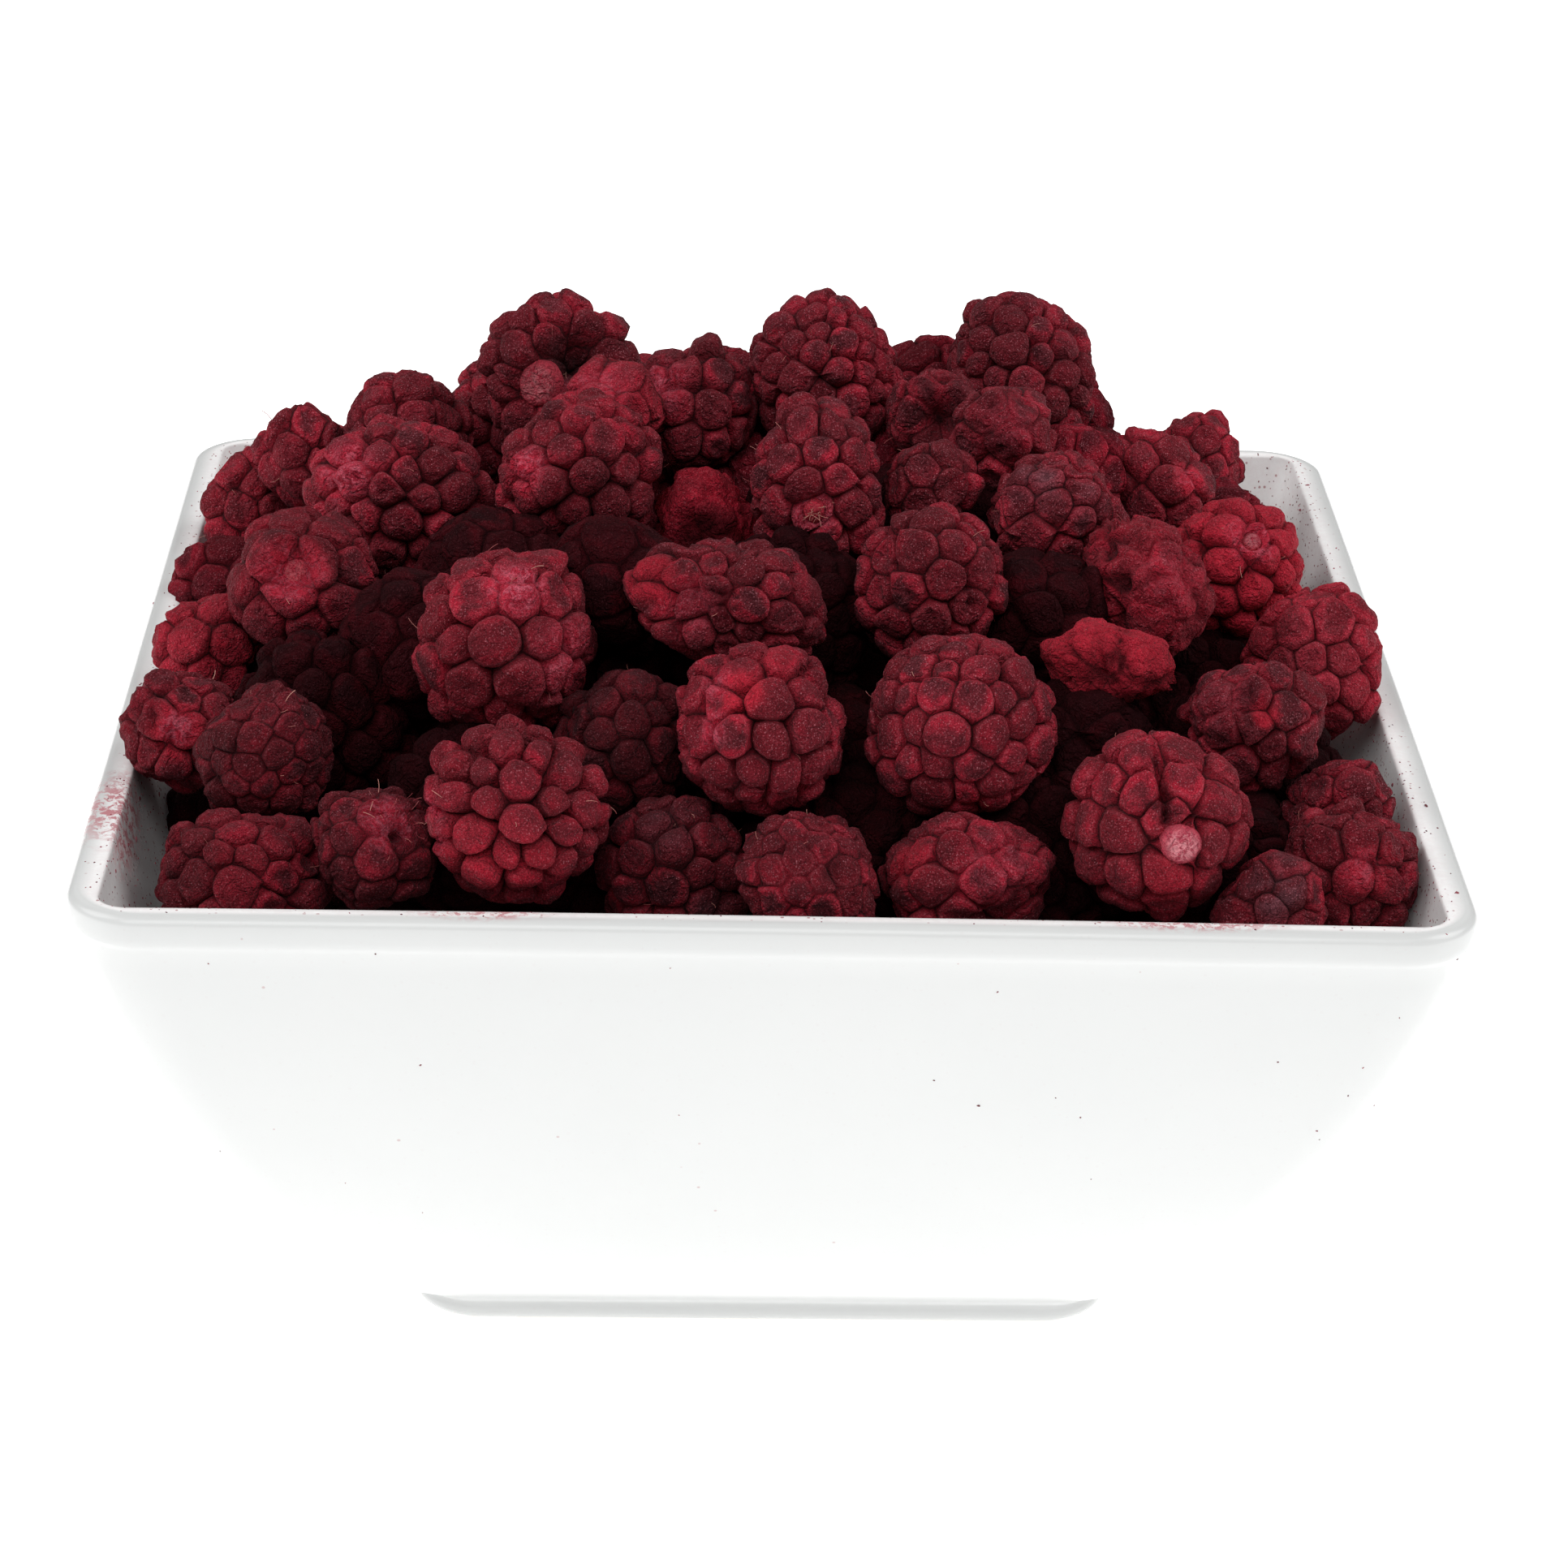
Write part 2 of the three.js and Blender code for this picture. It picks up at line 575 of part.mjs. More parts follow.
// Triangles of a skin: a fan over each drupelet, leaving out those that join another berry
function skinTriangles({ rings }, open = []) {
  const triangles = [];
  rings.forEach((ring, drupelet) => {
    if (!open.includes(drupelet)) {
      ring.forEach((crease, i) => {
        triangles.push([drupelet, crease, ring[(i + 1) % ring.length]]);
      });
    }
  });
  return triangles;
}

// The neck between two joined berries: a band of triangles from one ring of creases to the other.
// Both rings run the same way round the neck's axis.
function neckBand(points, ringOne, ringTwo, axis) {
  const middle = new THREE.Vector3();
  for (const i of [...ringOne, ...ringTwo]) {
    middle.add(points[i]);
  }
  middle.divideScalar(ringOne.length + ringTwo.length);
  const side = points[ringOne[0]].clone().sub(middle);
  side.addScaledVector(axis, -side.dot(axis)).normalize();
  const other = axis.clone().cross(side);
  const angleOf = (i) => {
    const arm = points[i].clone().sub(middle);
    const angle = Math.atan2(arm.dot(other), arm.dot(side));
    return angle < -1e-9 ? angle + 2 * Math.PI : angle;
  };
  const sorted = (ring) => {
    const angles = ring.map(angleOf);
    const start = angles.indexOf(Math.min(...angles));
    return ring.map((_, i) => ring[(start + i) % ring.length]);
  };
  const one = sorted(ringOne);
  const two = sorted(ringTwo);
  const triangles = [];
  let i = 0;
  let j = 0;
  while (i < one.length || j < two.length) {
    const nextOne = i < one.length ? (i + 1 < one.length ? angleOf(one[i + 1]) : 2 * Math.PI) : 9;
    const nextTwo = j < two.length ? (j + 1 < two.length ? angleOf(two[j + 1]) : 2 * Math.PI) : 9;
    const a = one[i % one.length];
    const b = two[j % two.length];
    if (nextOne <= nextTwo) {
      triangles.push([a, one[(i + 1) % one.length], b]);
      i += 1;
    } else {
      triangles.push([two[(j + 1) % two.length], b, a]);
      j += 1;
    }
  }
  return triangles;
}

// One piece from several berries, each grown to the next by a short neck
function joinedGeometry(members) {
  const points = [];
  const triangles = [];
  for (const berry of members) {
    berry.skin = berrySkin(berry);
    berry.start = points.length;
    const open = berry.joints.map((joint) => joint.drupelet);
    for (const corners of skinTriangles(berry.skin, open)) {
      triangles.push(corners.map((i) => i + berry.start));
    }
    points.push(...berry.skin.points);
  }
  for (const berry of members) {
    for (const { other, drupelet } of berry.joints) {
      if (members.indexOf(berry) < members.indexOf(other)) {
        const facing = other.joints.find((joint) => joint.other === berry).drupelet;
        const ringOne = berry.skin.rings[drupelet].map((i) => i + berry.start);
        const ringTwo = other.skin.rings[facing].map((i) => i + other.start).reverse();
        const axis = other.centre.clone().sub(berry.centre).normalize();
        triangles.push(...neckBand(points, ringOne, ringTwo, axis));
      }
    }
  }
  return closedGeometry(points.map((p) => p.toArray()), triangles);
}

// Where two berries of different pieces meet, each is cut flat on its side of the same plane
function pressTogether(berries) {
  for (let i = 0; i < berries.length; i += 1) {
    for (let j = i + 1; j < berries.length; j += 1) {
      const one = berries[i];
      const two = berries[j];
      const contact = deepestContact(one, two);
      if (contact && contact.depth > -3) {
        const middle = contact.middle;
        const roomOne = middle.clone().sub(one.centre).dot(contact.normal) - seatGap / 2;
        const roomTwo = two.centre.clone().sub(middle).dot(contact.normal) - seatGap / 2;
        one.planes.push({ normal: contact.normal, room: roomOne });
        two.planes.push({ normal: contact.normal.clone().negate(), room: roomTwo });
      }
    }
    for (const contact of wallContacts(berries[i])) {
      const room = contact.middle.clone().sub(berries[i].centre).dot(contact.normal) - wallGap;
      berries[i].planes.push({ normal: contact.normal, room });
    }
  }
}

// Every berry beside a neck is cut flat where the neck would run into it
function clearNecks(berries) {
  for (const one of berries) {
    const neck = (one.chain[0].radius * neckWidth) / Math.sqrt(one.drupelets);
    for (const { other, point } of one.joints) {
      for (const third of berries.filter((berry) => berry !== one && berry !== other)) {
        const toward = point.clone().sub(third.centre);
        const room = toward.length() - neck;
        toward.normalize();
        if (room < 25 && bodyReach(third, toward) + 1 > room) {
          third.planes.push({ normal: toward, room: Math.max(room, 3) });
        }
      }
    }
  }
}

// Under the top: berries that touch are gathered into a few pieces, each joined as a tree
function gather(berries, pieces) {
  for (const berry of berries) {
    berry.links = [];
  }
  berries.forEach((one, i) => {
    for (const two of berries.slice(i + 1)) {
      const depth = deepestContact(one, two)?.depth ?? -9;
      if (depth > -linkGap) {
        one.links.push({ other: two, depth });
        two.links.push({ other: one, depth });
      }
    }
  });
  const size = Math.ceil(berries.length / pieces);
  const fromLeft = [...berries].sort((a, b) => a.centre.x - b.centre.x);
  let group = 0;
  for (const start of fromLeft) {
    if (start.group === undefined) {
      start.group = group;
      const members = [start];
      let grown = true;
      while (grown && members.length < size) {
        grown = addNext(members, group);
      }
      group += 1;
    }
  }
  return group;
}

// Adds the leftmost free berry that presses on a member, joined to the one it presses most
function addNext(members, group) {
  const open = members.flatMap((member) => member.links.map((link) => ({ member, ...link })));
  const free = open.filter(({ other, depth }) => other.group === undefined && depth > press * 0.3);
  if (free.length === 0) {
    return false;
  }
  const next = free.reduce((a, b) => (b.other.centre.x < a.other.centre.x ? b : a)).other;
  const best = free.filter(({ other }) => other === next).reduce((a, b) => (b.depth > a.depth ? b : a));
  next.group = group;
  join(next, best.member);
  members.push(next);
  return true;
}

// Joins two berries: each notes the other and the point where they meet
function join(one, two) {
  const { middle } = deepestContact(one, two);
  one.joints.push({ other: two, point: middle });
  two.joints.push({ other: one, point: middle });
}

// A small leftover piece is joined to the neighbouring piece that it comes nearest to
function joinLeftovers(berries, groups, least) {
  for (let group = 0; group < groups; group += 1) {
    const members = berries.filter((berry) => berry.group === group);
    const links = members.flatMap((member) => member.links.map((link) => ({ member, ...link })));
    const outside = links.filter(({ other }) => other.group !== group);
    if (members.length > 0 && members.length < least && outside.length > 0) {
      const best = outside.reduce((a, b) => (b.depth > a.depth ? b : a));
      join(best.member, best.other);
      for (const member of members) {
        member.group = best.other.group;
      }
    }
  }
}

const berryMaterial = new THREE.MeshStandardMaterial({ color: 0x6e1f2b, roughness: 0.85, metalness: 0 });
const bowlMaterial = new THREE.MeshStandardMaterial({ color: 0xf1f3f0, roughness: 0.12, metalness: 0 });

function namedMesh(name, geometry, material) {
  const mesh = new THREE.Mesh(geometry, material);
  mesh.name = name;
  return mesh;
}

function buildAll() {
  const group = new THREE.Group();
  group.add(namedMesh('bowl', bowlGeometry(), bowlMaterial));
  const shown = topBerries.map(([name, place, width, length, tip, form], i) => {
    const drupelets = Math.round((width * length) / areaPerDrupelet);
    const berry = makeBerry(`berry_${name}`, place, width, length, tip, form, drupelets, 100 + i);
    berry.rear = name.startsWith('rear');
    berry.shows = !berry.rear;
    berry.held = true;
    berry.swell = shownSwell;
    return berry;
  });
  const gaps = gapBerries.map(([place, width], i) => {
    const tip = [Math.sin(i * 2.4), Math.cos(i * 2.4), 0.4];
    const berry = makeBerry('gap', place, width, width * 1.1, tip, 'whole', 20, 500 + i);
    berry.shows = true;
    berry.held = true;
    return berry;
  });
  const under = underBerries([...shown, ...gaps]);
  const berries = [...shown, ...gaps, ...under];
  settle(berries, 160);
  seat(berries);
  const hidden = [...gaps, ...under];
  for (const berry of hidden) {
    berry.swell = hiddenSwell;
  }
  joinLeftovers(hidden, gather(hidden, 3), 15);
  pressTogether(berries);
  clearNecks(berries);
  for (const berry of shown) {
    group.add(namedMesh(berry.name, joinedGeometry([berry]), berryMaterial));
  }
  let number = 0;
  for (const which of new Set(hidden.map((berry) => berry.group))) {
    const members = hidden.filter((berry) => berry.group === which);
    number += 1;
    group.add(namedMesh(`berries_under_${number}`, joinedGeometry(members), berryMaterial));
  }
  return group;
}

export default buildAll();
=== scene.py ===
# A square white porcelain bowl heaped with freeze-dried boysenberries.
# Metres, +Z up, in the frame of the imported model. Berry shapes are worked out in millimetres.

import math

import bmesh
import bpy
import numpy as np
from mathutils import Matrix, Vector


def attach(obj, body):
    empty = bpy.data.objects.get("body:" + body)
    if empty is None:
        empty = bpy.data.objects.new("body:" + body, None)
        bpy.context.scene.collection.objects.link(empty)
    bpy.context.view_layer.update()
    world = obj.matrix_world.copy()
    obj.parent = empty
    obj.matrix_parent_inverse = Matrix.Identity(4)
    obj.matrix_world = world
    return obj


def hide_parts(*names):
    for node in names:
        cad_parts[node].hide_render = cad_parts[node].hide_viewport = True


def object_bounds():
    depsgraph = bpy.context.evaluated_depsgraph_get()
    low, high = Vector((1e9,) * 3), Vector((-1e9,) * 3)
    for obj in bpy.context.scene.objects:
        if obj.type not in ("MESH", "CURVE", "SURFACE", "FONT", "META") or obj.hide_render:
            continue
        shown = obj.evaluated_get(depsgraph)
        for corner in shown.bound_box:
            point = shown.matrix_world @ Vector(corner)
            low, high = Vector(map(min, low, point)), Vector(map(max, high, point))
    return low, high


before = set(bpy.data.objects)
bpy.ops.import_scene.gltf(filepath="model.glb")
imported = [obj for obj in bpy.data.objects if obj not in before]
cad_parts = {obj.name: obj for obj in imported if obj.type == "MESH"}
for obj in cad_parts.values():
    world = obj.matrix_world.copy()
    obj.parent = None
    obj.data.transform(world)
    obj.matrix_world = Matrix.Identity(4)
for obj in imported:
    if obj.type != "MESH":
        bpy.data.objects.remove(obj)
cad_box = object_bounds()

MM = 0.001
BOX_MARGIN = 0.02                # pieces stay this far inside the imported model's box, millimetres

# The photograph's camera: where it stands, and how it is turned
PHOTO_SIZE = 1932
FOCAL_PIXELS = 5623.2
SENSOR_WIDTH = 36.0
CAMERA_PLACE = Vector((-0.010489, -0.504752, 0.274897))
CAMERA_YAW = 0.0256
CAMERA_PITCH = 0.4169
CAMERA_ROLL = -0.0212

# Bowl, in millimetres
BOWL_HEIGHT = 68.4
RIM_HALF = 75.0
RIM_CORNER = 8.5                 # plan corner radius outside, at the rim
INNER_CORNER = 2.8               # and inside
FOOT_CORNER = 7.0
FOOT_HALF = 39.8
FOOT_RING = 3.4                  # width of the ring that touches the table
FOOT_RECESS = 1.8
LIP_THICKNESS = 3.0
LIP_ROUND = 1.25                 # rounding of the rim's outer edge
SIDE_LIP_EXTRA = 0.8             # the lip is this much wider along the left and right sides
WALL_THICKNESS = 4.0
FLOOR_TOP = 7.0
CORNER_DIP = 0.9                 # the rim sags this much at its right front corner
WALL_CURVE = ((40.5, 3.0), (54.5, 11.5), (68.3, 38.0), (74.3, 64.0))

# Berries, in millimetres
DRUPELET_WIDTH = 4.75
CREASE_DEPTH = 2.45
USUAL_RADIUS = 10.5              # smaller berries than this are shaped less deeply
HULL_POWER = 24                  # how sharply the smooth form turns from one hull face to the next
HULL_SWELL = 1.06
MOST_PROUD = 0.95                # the smooth form stands this much over the CAD body's own points
LEAST_RADIUS = 1.5
# Rings of points on a drupelet, as shares of its radius, and steps along each crease
FINE = dict(rings=(0.94, 0.83, 0.67, 0.47, 0.24), steps=3)
PLAIN = dict(rings=(0.92, 0.72, 0.4), steps=3)
COARSE = dict(rings=(0.9, 0.55), steps=2)

# How dry skin gives way, in millimetres
SLUMP = 4.5                      # broad hollows of a wholly crumpled berry
PLEAT = 2.0                      # its long pleats
WRINKLE, FINE_WRINKLE = 0.5, 0.22
TORN_FLESH, TORN_FIBRE = 2.0, 0.8
FOLD_LIFT, FOLD, FINE_FOLD = 0.7, 2.1, 0.7
HOLLOW = 5.5                     # a stem hollow


# Directions as the photograph's viewer sees them

def viewer_axes():
    """Right, up and back: unit vectors of the photograph's viewer."""
    cos_yaw, sin_yaw = math.cos(CAMERA_YAW), math.sin(CAMERA_YAW)
    cos_pitch, sin_pitch = math.cos(CAMERA_PITCH), math.sin(CAMERA_PITCH)
    level_right = Vector((cos_yaw, -sin_yaw, 0))
    level_down = Vector((-sin_yaw * sin_pitch, -cos_yaw * sin_pitch, -cos_pitch))
    forward = Vector((sin_yaw * cos_pitch, cos_yaw * cos_pitch, -sin_pitch))
    cos_roll, sin_roll = math.cos(CAMERA_ROLL), math.sin(CAMERA_ROLL)
    right = cos_roll * level_right + sin_roll * level_down
    down = -sin_roll * level_right + cos_roll * level_down
    return right, -down, -forward


VIEW_RIGHT, VIEW_UP, VIEW_BACK = viewer_axes()


def facing(right, up):
    """The direction from a berry's middle to the spot seen that far right and up, in berry radii."""
    toward = math.sqrt(max(0.0, 1.0 - right * right - up * up))
    return np.array((VIEW_RIGHT * right + VIEW_UP * up + VIEW_BACK * toward).normalized())


def add_camera():
    data = bpy.data.cameras.new("photo_view")
    data.sensor_width = SENSOR_WIDTH
    data.lens = FOCAL_PIXELS / PHOTO_SIZE * SENSOR_WIDTH
    data.clip_start = 0.01
    camera = bpy.data.objects.new("photo_view", data)
    bpy.context.scene.collection.objects.link(camera)
    turned = Matrix((VIEW_RIGHT, VIEW_UP, VIEW_BACK)).transposed().to_4x4()
    camera.matrix_world = Matrix.Translation(CAMERA_PLACE) @ turned
    bpy.context.scene.camera = camera


# Small sums

def unit(vector):
    return vector / np.linalg.norm(vector)


def units(vectors):
    return vectors / np.linalg.norm(vectors, axis=1)[:, None]


def square_to(axis, hint=(0.3, 0.2, 0.9)):
    """Two directions at right angles to an axis and to each other."""
    side = unit(np.cross(axis, hint))
    return side, np.cross(axis, side)


def angles_to(directions, spot):
    return np.arccos(np.clip(directions @ spot, -1, 1))


def soft_step(value, low, high):
    part = np.clip((value - low) / (high - low), 0, 1)
    return part * part * (3 - 2 * part)


def value_noise(points, seed):
    """Smooth random values from 0 to 1 at points, one lattice cell per unit."""
    cell = np.floor(points).astype(np.int64)
    part = points - cell
    part = part * part * (3 - 2 * part)
    total = np.zeros(len(points))
    for corner in range(8):
        step = np.array([corner & 1, (corner >> 1) & 1, (corner >> 2) & 1])
        key = (cell + step) * (73856093, 19349663, 83492791)
        number = key[:, 0] ^ key[:, 1] ^ key[:, 2] ^ (seed * 2654435761)
        number = (number ^ (number >> 13)) * 1274126177
        number = (number ^ (number >> 16)) & 0xFFFF
        weight = np.prod(np.where(step == 1, part, 1 - part), axis=1)
        total += weight * number / 0xFFFF
    return total


def ridges(points, seed):
    """Sharp folds: 1 along random winding lines, falling to 0 between them."""
    return 1 - np.abs(2 * value_noise(points, seed) - 1)


# Berries: the smooth outer form of a CAD body

class Envelope:
    """The smooth skin over a CAD berry, as a distance from its middle in each direction."""

    def __init__(self, points):
        self.middle = points.mean(axis=0)
        arms = points - self.middle
        self.arm = np.linalg.norm(arms, axis=1)
        self.arm_direction = arms / self.arm[:, None]
        self.normals, self.rooms = hull_planes(arms)

    def reach(self, directions):
        facing_planes = np.maximum(directions @ self.normals.T, 0.0) / self.rooms
        outside = np.sum(facing_planes ** HULL_POWER, axis=1) ** (-1 / HULL_POWER) * HULL_SWELL
        near = np.exp((directions @ self.arm_direction.T - 1) / 0.045) + 1e-9
        mean = near @ self.arm / near.sum(axis=1)
        return np.minimum(outside, mean + MOST_PROUD)

    def reach_at(self, spot):
        return float(self.reach(spot[None, :])[0])


def hull_planes(points):
    """Outward normals and distances of the faces of the hull round points."""
    bm = bmesh.new()
    for point in points:
        bm.verts.new(point)
    made = bmesh.ops.convex_hull(bm, input=bm.verts)
    normals, rooms = [], []
    for face in made["geom"]:
        if not isinstance(face, bmesh.types.BMFace):
            continue
        face.normal_update()
        if face.calc_area() > 1e-6:
            normal = np.array(face.normal)
            room = float(np.dot(normal, face.verts[0].co))
            if room < 0:
                normal, room = -normal, -room
            normals.append(normal)
            rooms.append(max(room, 0.5))
    bm.free()
    return np.array(normals), np.array(rooms)


def node_points(name):
    """The corner points of a CAD node, each once, in millimetres."""
    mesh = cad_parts[name].data
    points = np.empty(len(mesh.vertices) * 3)
    mesh.vertices.foreach_get("co", points)
    return np.unique(np.round(points.reshape(-1, 3) / MM, 3), axis=0)


# Berries: where the drupelets sit

def row_sites(axis, width, rng):
    """Directions in rows round the axis, as the lobes lie round a stem end. The width is an angle."""
    side, other = square_to(axis)
    sites = []
    rows = int(math.pi / width + 0.3)
    for row in range(rows):
        away = (row + 0.5) * math.pi / rows
        lobes = max(3, round(2 * math.pi * math.sin(away) / width))
        start = rng.uniform(0, 2 * math.pi)
        for lobe in range(lobes):
            turn = start + lobe * 2 * math.pi / lobes
            around = math.cos(turn) * side + math.sin(turn) * other
            sites.append(math.cos(away) * axis + math.sin(away) * around)
    return np.array(sites)


def spread_sites(envelope, axis, sizes, rng, width):
    """Directions of the drupelets: a spiral round the axis, pushed apart until each has the room it wants."""
    rounds, looseness, spacing, give = 22, 0.5, 1.12, 0.12
    side, other = square_to(axis)
    count = len(sizes)
    index = np.arange(count)
    height = 1 - (2 * index + 1) / count
    turn = rng.uniform(0, 2 * math.pi) + index * math.pi * (3 - math.sqrt(5))
    around = np.sqrt(1 - height ** 2)
    sites = height[:, None] * axis + around[:, None] * (
        np.cos(turn)[:, None] * side + np.sin(turn)[:, None] * other)
    sites = units(sites + rng.normal(0, looseness / math.sqrt(count), sites.shape))
    for _ in range(rounds):
        place = sites * envelope.reach(sites)[:, None]
        apart = place[:, None, :] - place[None, :, :]
        distance = np.linalg.norm(apart, axis=2) + np.eye(count) * 99
        wanted = width * spacing * (sizes[:, None] + sizes[None, :]) / 2
        push = np.maximum(wanted - distance, 0)[:, :, None] * apart / distance[:, :, None]
        sites = units(place + push.sum(axis=1) * give)
    return sites


def clear_round(sites, spot, room):
    """Moves drupelets away from a spot on the skin until each is at least that angle from it."""
    for index, site in enumerate(sites):
        angle = math.acos(min(1.0, max(-1.0, float(site @ spot))))
        if angle < room:
            away = site - spot * float(site @ spot)
            away /= max(np.linalg.norm(away), 1e-6)
            target = room * 0.8 + angle * 0.2
            sites[index] = spot * math.cos(target) + away * math.sin(target)
    return sites


def berry_sites(envelope, axis, marks, rng, width, rows):
    """Directions and sizes of the drupelets, and each core with the number of the site that it takes."""
    area = 4 * math.pi * np.mean(envelope.arm ** 2)
    sizes = rng.uniform(0.82, 1.2, max(12, int(area / width ** 2 / 0.92)))
    if rows:
        sites = row_sites(axis, width / envelope.arm.mean(), rng)
        sizes = rng.uniform(0.85, 1.15, len(sites))
    else:
        sites = spread_sites(envelope, axis, sizes, rng, width)
    cores = []
    for _, right, up, radius, paleness, sunk in marks.of_kind("core"):
        spot = facing(right, up)
        sites = clear_round(sites, spot, radius / envelope.reach_at(spot) + 0.27)
        cores.append((len(sites), spot, radius, paleness, sunk))
        sites = np.concatenate([sites, spot[None, :]])
        sizes = np.append(sizes, 1.0)
    return sites, sizes, cores


# Berries: the creases between drupelets

def crease_corners(sites):
    """Directions of the corners where three drupelets meet.

    The second result gives, for each pair of neighbours, the next neighbour round the first one and the
    number of the corner between them."""
    bm = bmesh.new()
    for index, site in enumerate(sites):
        bm.verts.new(site).index = index
    made = bmesh.ops.convex_hull(bm, input=bm.verts)
    corners = []
    follower = {}
    for item in made["geom"]:
        if isinstance(item, bmesh.types.BMFace):
            a, b, c = (vert.index for vert in item.verts)
            corner = np.cross(sites[b] - sites[a], sites[c] - sites[a])
            if np.dot(corner, sites[a]) < 0:
                b, c = c, b
                corner = -corner
            for first, second, third in ((a, b, c), (b, c, a), (c, a, b)):
                follower[(first, second)] = (third, len(corners))
            corners.append(unit(corner))
    bm.free()
    return corners, follower


def drupelet_cells(sites, sizes, edge_steps, rng):
    """Crease directions between drupelets, how deep each is, and the ring of creases round each site."""
    creases, follower = crease_corners(sites * (1 + 0.06 * (sizes - 1))[:, None])
    deepness = [1.2] * len(creases)
    first_neighbour = {}
    for site, neighbour in follower:
        first_neighbour.setdefault(site, neighbour)

    def bent_crease(low, high, corner, next_corner):
        """Numbers of the points along the crease between two sites, bulging from the larger one."""
        toward = sites[high] - sites[low]
        bulge = 0.13 * (sizes[low] - sizes[high]) + rng.normal(0, 0.04)
        deep = rng.choice((0.6, 0.85, 1.0, 1.25))
        numbers = []
        for step in range(1, edge_steps):
            part = step / edge_steps
            point = creases[corner] * (1 - part) + creases[next_corner] * part
            point = point + toward * bulge * 2.2 * part * (1 - part)
            numbers.append(len(creases))
            creases.append(unit(point))
            deepness.append(deep)
        return numbers

    between = {}
    rings = []
    for site in range(len(sites)):
        start = first_neighbour.get(site)
        ring = []
        neighbour = start
        while start is not None:
            following, corner = follower[(site, neighbour)]
            key = (min(site, following), max(site, following))
            if key not in between:
                next_corner = follower[(site, following)][1]
                between[key] = (corner, bent_crease(*key, corner, next_corner))
            first, steps = between[key]
            ring.append(corner)
            ring.extend(steps if first == corner else steps[::-1])
            neighbour = following
            if neighbour == start:
                break
        rings.append(ring)
    return np.array(creases), np.array(deepness), rings


def oval_radii(turn, room):
    """Radii of the rounded oval that fits in a cell, in each direction from its middle."""
    most = room * 0.985
    waves = [np.ones(len(turn)), np.cos(turn), np.sin(turn), np.cos(2 * turn), np.sin(2 * turn)]
    shape = np.stack(waves, axis=1)
    oval = np.minimum(shape @ np.linalg.lstsq(shape, room, rcond=None)[0], most)
    oval = (np.roll(oval, 1) + 2 * oval + np.roll(oval, -1)) / 4
    return np.minimum(oval, most)


# Berries: marks, and the skin's points

class Marks:
    """What sets parts of a berry apart, each mark in its place as the photograph's viewer sees it."""

    def __init__(self, marks):
        self.marks = marks

    def of_kind(self, kind):
        return [mark for mark in self.marks if mark[0] == kind]

    def amount(self, kind, directions):
        """How much of one kind of mark there is in each direction, from 0 to 1."""
        total = np.zeros(len(directions))
        for _, right, up, width, strength in self.of_kind(kind):
            angle = angles_to(directions, facing(right, up))
            total = np.maximum(total, strength * soft_step(angle, width * 1.35, width * 0.45))
        return total

    def slit_depth(self, directions):
        """Depth of the splits: each runs from one spot to another, with a half width in radians."""
        depth = np.zeros(len(directions))
        for _, right, up, to_right, to_up, width, deep in self.of_kind("slit"):
            start, end = facing(right, up), facing(to_right, to_up)
            middle = unit(start + end)
            half = math.acos(float(start @ middle))
            aside = np.abs(directions @ unit(np.cross(start, end)))
            along = soft_step(angles_to(directions, middle), half * 1.25, half * 0.8)
            depth = np.maximum(depth, deep * (np.clip(1 - aside / width, 0, 1) * along))
        return depth


class Skin:
    """Points of a berry's skin as they are made, each with its place on its drupelet."""

    def __init__(self):
        self.rings = []
        self.faces = []
        self.count = 0

    def add(self, directions, depth, out, up, site, turn):
        """Adds a ring of points and returns their numbers."""
        size = len(directions)
        columns = [np.broadcast_to(value, size) for value in (depth, out, up, site, turn)]
        self.rings.append((directions, *columns))
        self.count += size
        return list(range(self.count - size, self.count))

    def band(self, low, high):
        for i in range(len(low)):
            j = (i + 1) % len(low)
            self.faces.append((low[i], low[j], high[j], high[i]))

    def cap(self, ring, top):
        for i in range(len(ring)):
            self.faces.append((ring[i], ring[(i + 1) % len(ring)], top))

    def columns(self):
        """For all points: direction, crease depth, share of the way out, height, drupelet and turn on it."""
        return [np.concatenate(column) for column in zip(*self.rings)]


def grow_skin(detail, crease_depth, creases, rings, roundness):
    """A domed oval over each drupelet's cell, rising from the creases it shares with its neighbours."""
    skin = Skin()
    skin.add(creases, crease_depth, 1.0, 0.0, -1, 0.0)
    for site, ring in enumerate(rings):
        if len(ring) < 3:
            continue
        middle = unit(creases[ring].mean(axis=0))
        arms = creases[ring] / (creases[ring] @ middle)[:, None] - middle
        room = np.linalg.norm(arms, axis=1)
        pointing = arms / room[:, None]
        other = np.cross(middle, pointing[0])
        turn = np.arctan2(pointing @ other, pointing @ pointing[0])
        oval = oval_radii(turn, room)
        depth = crease_depth[ring]
        power = roundness[site]
        previous = list(ring)
        for out in detail["rings"]:
            up = (1 - out ** power) ** (1 / power)
            evened = depth * (1 - up) + depth.mean() * up
            place = units(middle + pointing * (oval * out)[:, None])
            current = skin.add(place, evened, out, up, site, turn)
            skin.band(previous, current)
            previous = current
        top = skin.add(middle[None, :], depth.mean(), 0.0, 1.0, site, 0.0)[0]
        skin.cap(previous, top)
    return skin


